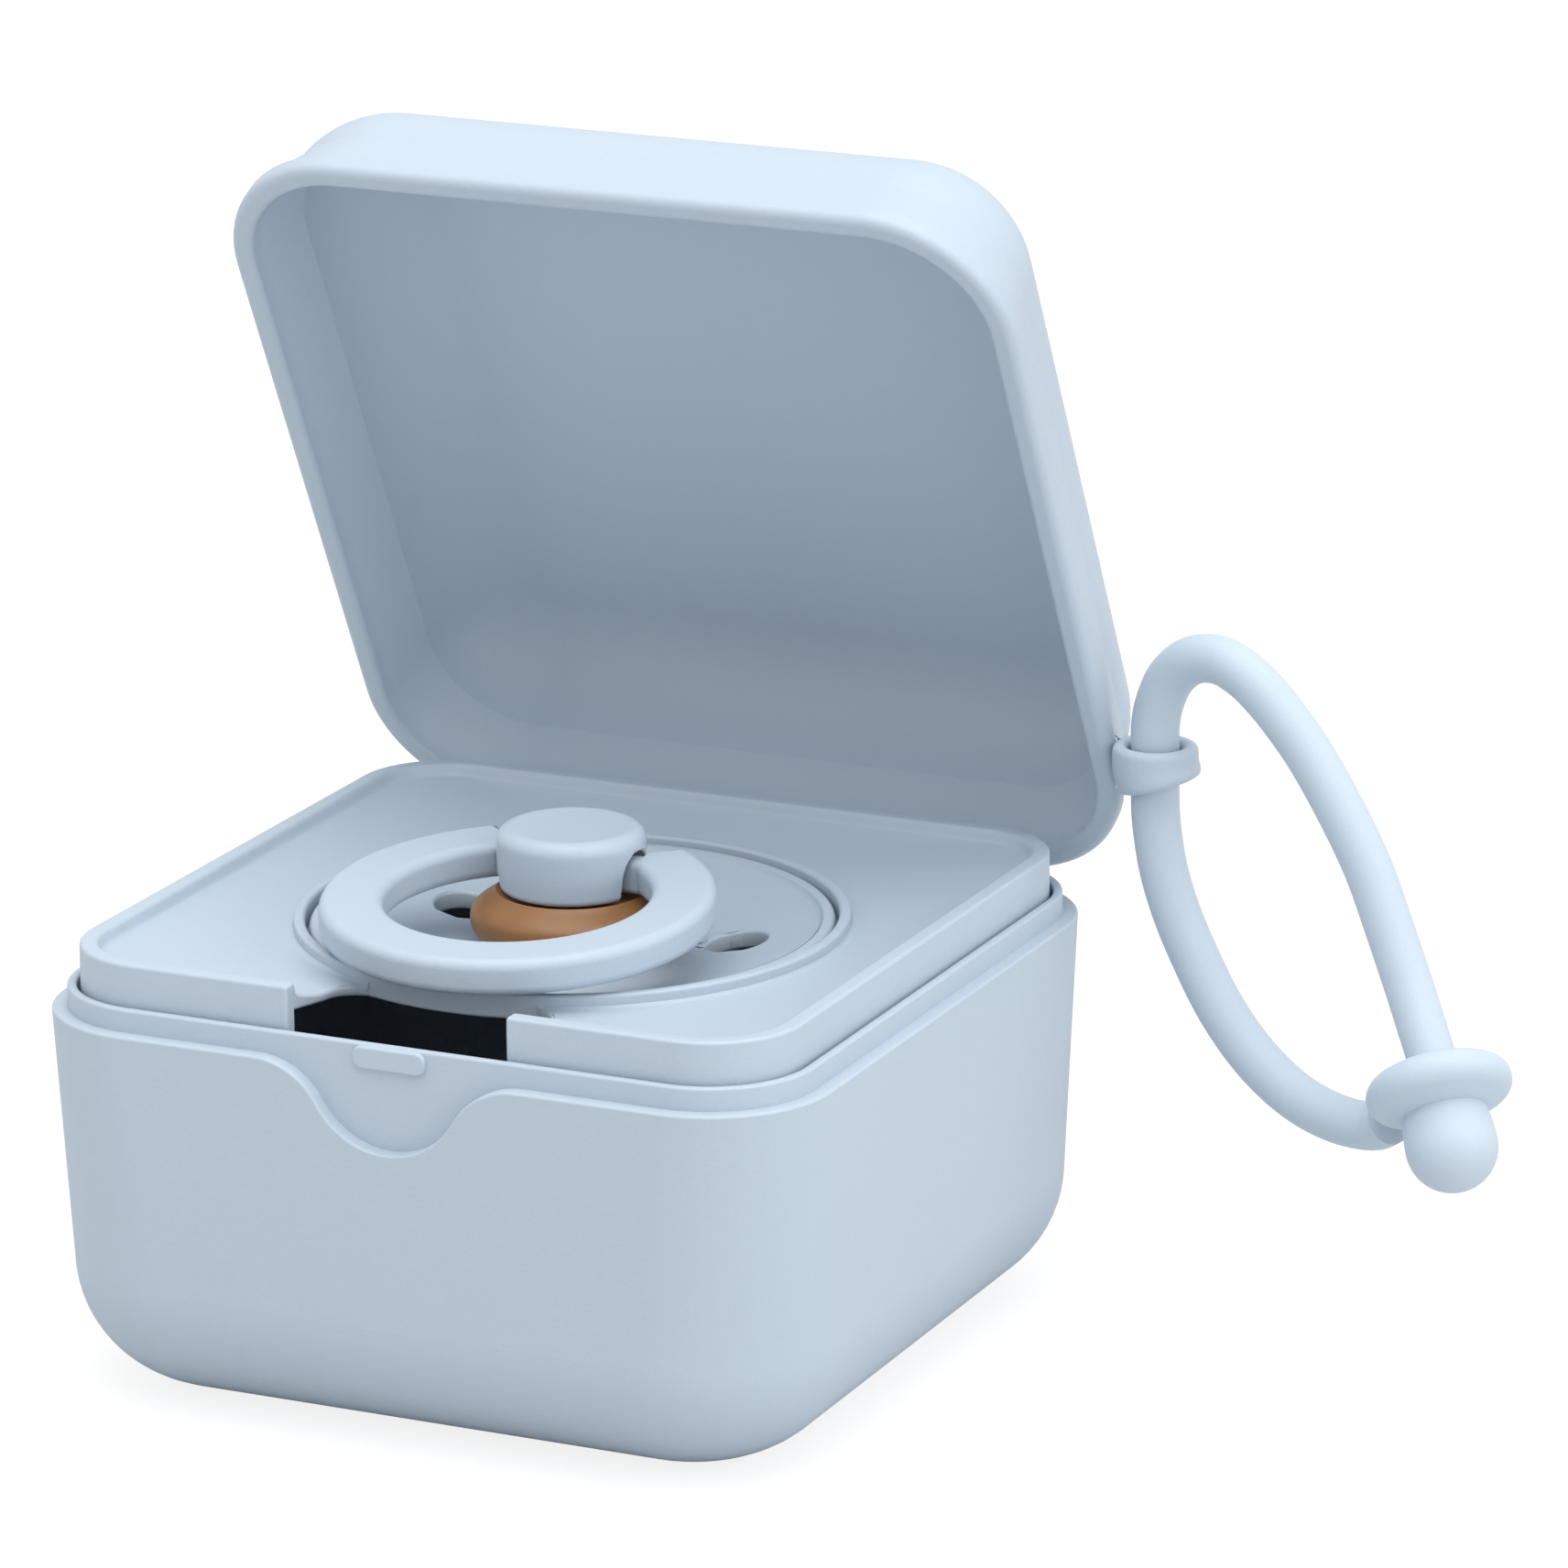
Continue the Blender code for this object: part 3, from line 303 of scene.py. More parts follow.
class StrapSizes(PropertyGroup):
    """Sizes of the strap, its disc and the ball that stops it."""

    diameter: length("Diameter", "Diameter of the round strap", 0.0041)
    disc: length("Disc radius", "Radius of the disc on the strap's end", 0.0061)
    disc_height: length("Disc height", "Thickness of the disc", 0.0036)
    ball: length("Ball radius", "Radius of the ball on the other end", 0.00382)
    ball_drop: length("Ball drop", "Centre of the disc to the centre of the ball", 0.0051)
    disc_centre: FloatVectorProperty(
        name="Disc centre", description="Where the disc hangs", unit="LENGTH", default=DISC_CENTRE
    )
    disc_axis: FloatVectorProperty(
        name="Disc axis", description="Way that the disc's hole points", default=DISC_AXIS
    )
    tail: FloatVectorProperty(
        name="Tail", description="Way that the strap leaves the disc's edge", default=STRAP_TAIL
    )


class Finishes(PropertyGroup):
    """Colours of the plastic, the silicone, the rubber and the stage."""

    plastic: colour("Plastic", "Colour of the moulded plastic", (0.46, 0.54, 0.622))
    silicone: colour("Silicone", "Colour of the strap", (0.50, 0.585, 0.67))
    rubber: colour("Rubber", "Colour of the teat", (0.27, 0.122, 0.035))
    steel: colour("Steel", "Colour of the hinge pin", (0.62, 0.63, 0.65))
    floor: colour("Floor", "Colour that the floor throws back", (0.62, 0.63, 0.64))


class StageSizes(PropertyGroup):
    """Place of the camera and strength of the lights."""

    azimuth: angle("Azimuth", "The camera's turn about Z, from straight in front", 24.935)
    elevation: angle("Elevation", "The camera's height above level", 16.463)
    roll: angle("Roll", "The camera's turn about its own line of sight", -0.409)
    place: FloatVectorProperty(
        name="Camera place", description="Where the camera stands",
        default=(0.30546, -0.61524, 0.25022), unit="LENGTH",
    )
    lens: FloatProperty(name="Lens", description="Focal length for a 36 mm sensor, in mm", default=199.26)
    sky: FloatProperty(name="Sky", description="Strength of the even light from all round", default=0.79)


class BoxSettings(PropertyGroup):
    """Everything that a user would change."""

    base: PointerProperty(type=BaseSizes, name="Base", description="Sizes of the base")
    tray: PointerProperty(type=TraySizes, name="Tray", description="Sizes of the tray")
    lid: PointerProperty(type=LidSizes, name="Lid", description="Sizes of the lid")
    pacifier: PointerProperty(type=PacifierSizes, name="Pacifier", description="Sizes of the pacifier")
    strap: PointerProperty(type=StrapSizes, name="Strap", description="Sizes of the strap")
    finishes: PointerProperty(type=Finishes, name="Finishes", description="Colours")
    stage: PointerProperty(type=StageSizes, name="Stage", description="Camera and light")


class Socket:
    """An output socket of a paint's nodes; sums written on it become Math nodes."""

    def __init__(self, paint, socket):
        self.paint = paint
        self.socket = socket

    def __add__(self, other):
        return self.paint.node("ShaderNodeMath", {"operation": "ADD"}, {0: self, 1: other})

    __radd__ = __add__

    def __mul__(self, other):
        return self.paint.node("ShaderNodeMath", {"operation": "MULTIPLY"}, {0: self, 1: other})


class Paint:
    """A material in the making."""

    def __init__(self, name):
        self.material = bpy.data.materials.new(name)
        self.material.use_nodes = True
        self.tree = self.material.node_tree
        self.shader = self.tree.nodes["Principled BSDF"]

    def node(self, kind, settings=None, sockets=None, output=0):
        """Adds a node with its settings, then its sockets' values or links, and gives one output."""
        node = self.tree.nodes.new(kind)
        for key, value in (settings or {}).items():
            setattr(node, key, value)
        for key, value in (sockets or {}).items():
            self.feed(node.inputs[key], value)
        return Socket(self, node.outputs[output])

    def feed(self, target, value):
        if isinstance(value, Socket):
            self.tree.links.new(value.socket, target)
        else:
            target.default_value = value

    def coat(self, **values):
        """Sets or links the shader's own sockets, and gives the material."""
        for key, value in values.items():
            self.feed(self.shader.inputs[key.replace("_", " ")], value)
        return self.material

    def noise(self, scale, detail=2.0, roughness=0.5):
        """Noise on the object's own coordinates, as a value about 0.5."""
        place = self.node("ShaderNodeTexCoord", output="Object")
        sockets = {"Vector": place, "Scale": scale, "Detail": detail, "Roughness": roughness}
        return self.node("ShaderNodeTexNoise", sockets=sockets)

    def tones(self, share, hue, dark, light):
        """A colour between its darker and its lighter tone, by a share from 0 to 1."""
        low, high = ([min(1.0, part * factor) for part in hue] for factor in (dark, light))
        sockets = {"Factor": share, 6: (*low, 1.0), 7: (*high, 1.0)}
        return self.node("ShaderNodeMix", {"data_type": "RGBA"}, sockets, output=2)

    def bump(self, height, depth):
        return self.node("ShaderNodeBump", None, {"Strength": 1.0, "Distance": depth, "Height": height})


def moulded_paint(name, hue, grain, gloss, sheen=0.0):
    """Moulded plastic or silicone: a matt, finely spark-eroded skin with faint flow marks."""
    paint = Paint(name)
    flow, speckle, skin = paint.noise(55.0, 3.0), paint.noise(3200.0, 2.0, 0.6), paint.noise(1600.0, 3.0, 0.6)
    return paint.coat(
        Base_Color=paint.tones(flow * 0.35 + speckle * 0.65, hue, 0.965, 1.035),
        Roughness=gloss - 0.05 + skin * 0.1, Normal=paint.bump(skin + speckle * 0.5, grain),
        IOR=1.48, Sheen_Weight=sheen, Specular_IOR_Level=0.4,
    )


def rubber_paint(hue):
    """Natural rubber: amber, slightly clouded, letting some light through."""
    paint = Paint(RUBBER)
    cloud, speckle = paint.noise(420.0, 4.0, 0.6), paint.noise(2600.0, 2.0)
    return paint.coat(
        Base_Color=paint.tones(cloud * 0.7 + speckle * 0.3, hue, 0.86, 1.14),
        Roughness=0.33 + cloud * 0.12, Normal=paint.bump(speckle, 0.00001),
        IOR=1.52, Subsurface_Weight=0.25, Subsurface_Scale=0.002, Subsurface_Radius=(1.0, 0.45, 0.2),
    )


def steel_paint(hue):
    """Drawn steel: fine lines along the pin, which lies along X."""
    paint = Paint(STEEL)
    place = paint.node("ShaderNodeTexCoord", output="Object")
    drawn = paint.node("ShaderNodeMapping", None, {"Vector": place, "Scale": (60.0, 4000.0, 4000.0)})
    lines = paint.node("ShaderNodeTexNoise", None, {"Vector": drawn, "Scale": 1.0, "Detail": 2.0})
    tones = paint.tones(lines, hue, 0.9, 1.05)
    return paint.coat(Base_Color=tones, Roughness=0.22 + lines * 0.16, Metallic=1.0)


def painted(name):
    """The material of this name, made the first time it is asked for."""
    looks = bpy.context.scene.pacifier_box.finishes
    made = bpy.data.materials.get(name)
    if made:
        return made
    if name == RUBBER:
        return rubber_paint(looks.rubber)
    if name == STEEL:
        return steel_paint(looks.steel)
    if name == SILICONE:
        return moulded_paint(name, looks.silicone, 0.000012, 0.56, 0.08)
    return moulded_paint(name, looks.plastic, 0.000022, 0.46)


def deselect():
    bpy.ops.object.select_all(action="DESELECT")


def take(piece):
    """Selects this piece alone and makes it active."""
    deselect()
    piece.select_set(True)
    bpy.context.view_layer.objects.active = piece


def begin(name):
    """An empty mesh object at the origin, in edit mode."""
    deselect()
    bpy.ops.mesh.primitive_plane_add(size=HAIR, location=(0.0, 0.0, 0.0))
    piece = bpy.context.object
    piece.name = piece.data.name = name
    bpy.ops.object.mode_set(mode="EDIT")
    bpy.ops.mesh.delete(type="VERT")
    return piece


def leave(piece):
    """Turns all faces outwards and goes back to object mode."""
    bpy.ops.mesh.select_all(action="SELECT")
    bpy.ops.mesh.normals_make_consistent(inside=False)
    bpy.ops.object.mode_set(mode="OBJECT")
    return piece


def pick(piece, kind, wanted):
    """In edit mode, selects only those vertices, edges or faces for which wanted says yes."""
    bpy.ops.mesh.select_mode(type=kind)
    bpy.ops.mesh.select_all(action="DESELECT")
    shape = bmesh.from_edit_mesh(piece.data)
    parts = {"VERT": shape.verts, "EDGE": shape.edges, "FACE": shape.faces}[kind]
    for part in parts:
        if wanted(part):
            part.select_set(True)
    bmesh.update_edit_mesh(piece.data)


def on_ring(point, ring):
    """Whether a point lies on the level, round-cornered square of (half, corner, height)."""
    half, corner, height = ring
    reach = [max(abs(side) - (half - corner), 0.0) for side in point.xy]
    return abs(point.z - height) < NEAR and abs(math.hypot(*reach) - corner) < NEAR


def pick_rings(piece, *rings):
    pick(piece, "EDGE", lambda edge: any(all(on_ring(v.co, ring) for v in edge.verts) for ring in rings))


def add_ring(half, corner, height):
    """A level square with round corners, or a circle where the corner is as large as the half width."""
    place = (0.0, 0.0, height)
    if corner < half:
        bpy.ops.mesh.primitive_plane_add(size=2 * half, location=place)
        bpy.ops.mesh.bevel(offset=corner, segments=CORNER_SEGMENTS, affect="VERTICES", clamp_overlap=False)
        return
    count = 4 * (CORNER_SEGMENTS + 1)
    bpy.ops.mesh.primitive_circle_add(
        vertices=count, radius=half, fill_type="NGON", location=place, rotation=(0.0, 0.0, math.pi / count)
    )


def loft(name, rings, loop=False):
    """A skin through level rings, closed by a cap at each end or, as a loop, by itself.

    The rings are bridged one above the other in a tall stack, then let down to their own heights.
    """
    piece = begin(name)
    stack = [(half, corner, STACK_FOOT + STACK_RISE * step) for step, (half, corner, _) in enumerate(rings)]
    for ring in stack:
        add_ring(*ring)
    bpy.ops.mesh.select_all(action="SELECT")
    bpy.ops.mesh.delete(type="ONLY_FACE")
    pairs = list(zip(stack, stack[1:]))
    if loop:
        pairs.append((stack[-1], stack[0]))
    for low, high in pairs:
        pick_rings(piece, low, high)
        bpy.ops.mesh.bridge_edge_loops()
    if not loop:
        for ring in (stack[0], stack[-1]):
            pick_rings(piece, ring)
            bpy.ops.mesh.edge_face_add()
    for (_, _, high), (_, _, height) in zip(stack, rings):
        pick(piece, "VERT", lambda vert: abs(vert.co.z - high) < NEAR)
        bpy.ops.transform.translate(value=(0.0, 0.0, height - high))
    return piece


def fillet(piece, ring, radius):
    """In edit mode, rounds the edge that runs along a ring."""
    pick_rings(piece, ring)
    bpy.ops.mesh.bevel(offset=radius, segments=FILLET_SEGMENTS, affect="EDGES", clamp_overlap=False)


def trace(piece, points, closed=False):
    """In edit mode, draws edges from point to point, starting from a primitive merged to one vertex."""
    bpy.ops.mesh.select_mode(type="VERT")
    bpy.ops.mesh.primitive_plane_add(size=HAIR, location=points[0])
    bpy.ops.mesh.merge(type="CENTER")
    for here, there in zip(points, points[1:]):
        bpy.ops.mesh.extrude_vertices_move(TRANSFORM_OT_translate={"value": Vector(there) - Vector(here)})
    if closed:
        ends = (Vector(points[0]), Vector(points[-1]))
        pick(piece, "VERT", lambda vert: any((vert.co - end).length < NEAR for end in ends))
        bpy.ops.mesh.edge_face_add()


def arc(centre, radius, start, end, steps):
    """Points (a, b) along an arc about centre, angles in degrees."""
    angles = [math.radians(start + (end - start) * i / steps) for i in range(steps + 1)]
    return [(centre[0] + radius * math.cos(a), centre[1] + radius * math.sin(a)) for a in angles]


def rounded_section(low, high, corner, steps=6):
    """A rectangle from low to high with round corners, as profile points."""
    (x0, z0), (x1, z1) = low, high
    return (
        arc((x1 - corner, z1 - corner), corner, 0, 90, steps)
        + arc((x0 + corner, z1 - corner), corner, 90, 180, steps)
        + arc((x0 + corner, z0 + corner), corner, 180, 270, steps)
        + arc((x1 - corner, z0 + corner), corner, 270, 360, steps)
    )


def smooth_line(points, steps):
    """A smooth curve through the points, with steps to each stretch."""
    knots = [Vector(point) for point in points]
    knots = [knots[0] * 2 - knots[1], *knots, knots[-1] * 2 - knots[-2]]
    line = []
    for before, a, b, after in zip(knots, knots[1:], knots[2:], knots[3:]):
        for step in range(steps):
            t = step / steps
            bend = 2 * a - 2 * b + (b - before) / 2 + (after - a) / 2
            lean = 3 * (b - a) - (b - before) - (after - a) / 2
            line.append(a + (b - before) / 2 * t + lean * t * t + bend * t * t * t)
    return [*line, knots[-2]]


def along_x(a, b, d):
    return Vector((d, a, b))


def along_y(a, b, d):
    return Vector((a, d, b))


def along_z(a, b, d):
    return Vector((a, b, d))


def prism(name, outline, place, start, end):
    """An outline of (a, b) pairs drawn out from start to end; place(a, b, d) gives each point."""
    piece = begin(name)
    trace(piece, [place(a, b, start) for a, b in outline], closed=True)
    bpy.ops.mesh.select_all(action="SELECT")
    bpy.ops.mesh.edge_face_add()
    bpy.ops.mesh.extrude_region_move(TRANSFORM_OT_translate={"value": place(0.0, 0.0, end - start)})
    return leave(piece)


def turned(name, profile, segments=ROUND_SEGMENTS, closed=False):
    """A shape spun about Z from (radius, height) points; an open profile starts and ends on the axis."""
    piece = begin(name)
    trace(piece, [(radius, 0.0, height) for radius, height in profile], closed)
    bpy.ops.mesh.select_all(action="SELECT")
    bpy.ops.mesh.spin(steps=segments, angle=2 * math.pi, center=(0.0, 0.0, 0.0), axis=(0.0, 0.0, 1.0))
    bpy.ops.mesh.select_all(action="SELECT")
    bpy.ops.mesh.remove_doubles(threshold=NEAR)
    return leave(piece)


def rod_x(name, radius, start, end, centre):
    """A round rod along X, from start to end, about centre's Y and Z."""
    deselect()
    bpy.ops.mesh.primitive_cylinder_add(
        vertices=ROD_SEGMENTS, radius=radius, depth=abs(end - start),
        location=((start + end) / 2, centre[0], centre[1]), rotation=(0.0, math.pi / 2, 0.0),
    )
    rod = bpy.context.object
    rod.name = name
    return rod


def combine(piece, helper, operation):
    """Cuts the helper from the piece or joins it to it, and removes the helper."""
    modifier = piece.modifiers.new(helper.name, "BOOLEAN")
    modifier.operation = operation
    modifier.object = helper
    take(piece)
    bpy.ops.object.modifier_apply(modifier=modifier.name)
    bpy.data.objects.remove(helper)


def cut(piece, helper):
    combine(piece, helper, "DIFFERENCE")


def join(piece, helper):
    combine(piece, helper, "UNION")


def round_edges(piece, width, held=False):
    """Rounds every sharp edge; held keeps the rounding within the shortest edges."""
    modifier = piece.modifiers.new("edge_rounding", "BEVEL")
    modifier.width = width
    modifier.segments = EDGE_SEGMENTS
    modifier.limit_method = "ANGLE"
    modifier.angle_limit = SMOOTH_ANGLE
    modifier.use_clamp_overlap = held
    take(piece)
    bpy.ops.object.modifier_apply(modifier=modifier.name)


def smooth(piece):
    """Smooth shading in which the broad faces stay flat."""
    take(piece)
    bpy.ops.object.shade_smooth_by_angle(angle=SMOOTH_ANGLE)
    modifier = piece.modifiers.new("flat_faces", "WEIGHTED_NORMAL")
    modifier.keep_sharp = True
    bpy.ops.object.modifier_apply(modifier=modifier.name)


def place_in_mesh(piece, matrix):
    """Moves and turns a piece, with its place kept in its mesh."""
    take(piece)
    piece.matrix_world = matrix
    bpy.ops.object.transform_apply(location=True, rotation=True, scale=True)


def dress(piece, paint, body, *nodes):
    """Paints a piece, sets it on its body and lets it stand for its nodes."""
    piece.data.materials.clear()
    piece.data.materials.append(painted(paint))
    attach(piece, body)
    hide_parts(*nodes)
    plastic = "pacifier_plastic" if body in ("pacifier", "handle") else "box_plastic"


def finish(piece, paint, body, *nodes):
    smooth(piece)
    dress(piece, paint, body, *nodes)


def hinge_centre(base):
    """The hinge's axis, as its Y and Z."""
    return base.half + HINGE_BEHIND, base.shoulder - HINGE_DROP


def notch_outline(base):
    """The thumb notch from its left flare, down round its bottom and up to its right flare."""
    flare = base.notch_depth / (1 - math.cos(NOTCH_SLOPE)) - base.notch_radius
    reach = (base.notch_radius + flare) * math.sin(NOTCH_SLOPE)
    bottom = base.shoulder - base.notch_depth
    slope = math.degrees(NOTCH_SLOPE)
    left = arc((-reach, base.shoulder - flare), flare, 90, 90 - slope, 12)
    middle = arc((0.0, bottom + base.notch_radius), base.notch_radius, 270 - slope, 270 + slope, 28)
    right = arc((reach, base.shoulder - flare), flare, 90 + slope, 90, 12)
    top = base.shoulder + OVERRUN
    return left + middle[1:-1] + right + [(reach, top), (-reach, top)]


class PACIFIERBOX_OT_base(Operator):
    """Model the base: a rounded shell with a raised band, a thumb notch, a snap nub and hinge knuckles"""

    bl_idname = "pacifier_box.base"
    bl_label = "Base"

    def execute(self, context):
        settings = context.scene.pacifier_box
        base = settings.base
        band = base.half - BAND_STEP
        rim = base.shoulder + base.band_height
        seat = base.shoulder - SEAT_DROP
        inner = base.half - base.wall
        inner_low = LOW_CORNER - base.wall
        inner_fillet = base.fillet - base.wall
        low = base.half - BASE_DRAFT
        under = BAND_STEP + BAND_WIDTH / 2
        rings = [
            (low, LOW_CORNER, 0.0),
            (low, LOW_CORNER, base.fillet),
            (base.half, base.corner, base.shoulder),
            (base.half - under, base.corner - under, base.shoulder),
            (base.half - under, base.corner - under, seat),
            (inner, base.corner - base.wall, seat),
            (inner, inner_low, base.floor + inner_fillet),
            (inner, inner_low, base.floor),
        ]
        shell = loft("base_shell", rings)
        fillet(shell, rings[0], base.fillet - NEAR * 5)
        fillet(shell, rings[-1], inner_fillet - NEAR * 5)
        leave(shell)
        back = -band + BAND_WIDTH * NOTCH_BITE
        cut(shell, prism("notch_cut", notch_outline(base), along_y, -base.half - OVERRUN, back))
        self.add_hinge(shell, settings)
        round_edges(shell, BASE_EDGE)
        finish(shell, PLASTIC, "box", "base")
        self.add_band(base, band, rim)
        self.add_nub(base, band, rim)
        return {"FINISHED"}

    def add_band(self, base, band, rim):
        """The raised band, which reaches down behind the thumb notch."""
        corner = base.corner - BAND_STEP
        foot = base.shoulder - base.notch_depth - base.wall / 3
        rings = [
            (band, corner, foot),
            (band, corner, rim),
            (band - BAND_WIDTH, corner - BAND_WIDTH, rim),
            (band - BAND_WIDTH, corner - BAND_WIDTH, foot),
        ]
        ring = leave(loft("base_band", rings, loop=True))
        round_edges(ring, BASE_EDGE)
        finish(ring, PLASTIC, "box")

    def add_nub(self, base, band, rim):
        half = base.nub_width / 2
        low, high = (-half, rim - NUB_HEIGHT - BASE_EDGE), (half, rim - BASE_EDGE / 2)
        section = rounded_section(low, high, NUB_HEIGHT * NUB_CORNER)
        nub = prism("snap_nub", section, along_y, -band - NUB_PROUD, -band + BAND_WIDTH / 2)
        round_edges(nub, NUB_PROUD * NUB_SOFT)
        finish(nub, PLASTIC, "box")

    def add_hinge(self, shell, settings):
        base, lid = settings.base, settings.lid
        centre = hinge_centre(base)
        reach = KNUCKLE_HALF + FIT_GAP
        cut(shell, rod_x("relief", lid.barrel + FIT_GAP, -reach + FIT_GAP / 2, reach - FIT_GAP / 2, centre))
        foot = base.half - base.wall / 2
        outline = (
            (foot, centre[1]),
            (foot, centre[1] - GUSSET - lid.barrel / 2),
            (base.half + BASE_EDGE, centre[1] - GUSSET),
            (centre[0] + lid.barrel * math.cos(GUSSET_LEAN), centre[1] - lid.barrel * math.sin(GUSSET_LEAN)),
            centre,
        )
        for side in (1, -1):
            join(shell, rod_x("knuckle", lid.barrel, side * reach, side * lid.hinge_half, centre))
            start, end = side * (reach + FIT_GAP), side * (lid.hinge_half - FIT_GAP)
            join(shell, prism("gusset", outline, along_x, start, end))
        far = lid.hinge_half + OVERRUN
        cut(shell, rod_x("pin_bore", PIN + FIT_GAP, -far, far, centre))


class PACIFIERBOX_OT_tray(Operator):
    """Model the tray: lip, dished deck, round collar and seat step, with a finger slot in the front"""

    bl_idname = "pacifier_box.tray"
    bl_label = "Tray"

    def execute(self, context):
        settings = context.scene.pacifier_box
        base, tray = settings.base, settings.tray
        outer = base.half - BAND_STEP - BAND_WIDTH - FIT_GAP
        corner = base.corner - BAND_STEP - BAND_WIDTH - FIT_GAP
        inner, inner_corner = outer - LIP, corner - LIP
        skirt = base.shoulder - SEAT_DROP + FIT_GAP
        top = base.shoulder + tray.rise
        collar = tray.well + COLLAR
        collar_top = top - COLLAR_DROP
        deck_edge, deck_well = top - EDGE_DROP, top - WELL_DROP
        middle = collar - COLLAR / 2
        low = collar_top - COLLAR_HEIGHT
        rings = [
            (inner, inner_corner, skirt),
            (outer, corner, skirt),
            (outer, corner, top),
            (inner, inner_corner, top),
            (inner - TRAY_EDGE, inner_corner - TRAY_EDGE, deck_edge),
        ]
        for share in DECK_SHARES:
            level = deck_edge + (deck_well - deck_edge) * math.sin(math.pi / 2 * share)
            half = inner + (collar - inner) * share
            bend = inner_corner + (collar - inner_corner) * share
            rings.append((half, bend, level))
        rings += [
            (collar + TRAY_EDGE, collar + TRAY_EDGE, deck_well),
            (collar, collar, deck_well + TRAY_EDGE),
            (middle, middle, deck_well + TRAY_EDGE),
            (middle, middle, low),
            (inner, inner_corner, deck_edge - DECK),
        ]
        deck = leave(loft("tray_deck", rings, loop=True))
        outline = self.slot_outline(tray, middle, outer)
        cut(deck, prism("slot_cut", outline, along_z, skirt - OVERRUN, top + OVERRUN))
        round_edges(deck, TRAY_EDGE)
        finish(deck, PLASTIC, "tray", "tray")
        self.add_collar(tray, collar, collar_top, low)
        return {"FINISHED"}

    def add_collar(self, tray, collar, top, low):
        """The round collar, which bridges the finger slot, with the step that the shield lies on."""
        step, mouth = top - STEP_DROP, tray.well - STEP_WIDTH
        soft = TRAY_EDGE
        profile = [
            *arc((collar - soft, low + soft), soft, -90, 0, 5),
            *arc((collar - soft, top - soft), soft, 0, 90, 6),
            *arc((tray.well + soft, top - soft), soft, 90, 180, 6),
            (tray.well, step),
            (mouth, step),
            (mouth, step - STEP),
        ]
        finish(turned("tray_collar", profile, closed=True), PLASTIC, "tray")

    def slot_outline(self, tray, reach, outer):
        """The finger slot from above: its sides flare inwards and end inside the collar."""
        inset = tray.slot_half - SLOT_FLARE
        back = math.sqrt((reach + SLOT_FLARE) ** 2 - inset ** 2)
        turn = math.degrees(math.atan2(back, inset))
        right = [(tray.slot_half, -outer - OVERRUN)]
        right += arc((inset, -back), SLOT_FLARE, 0, 180 - turn, 14)
        right.append((inset / 2, -tray.well / 2))
        return right + [(-x, y) for x, y in right[::-1]]


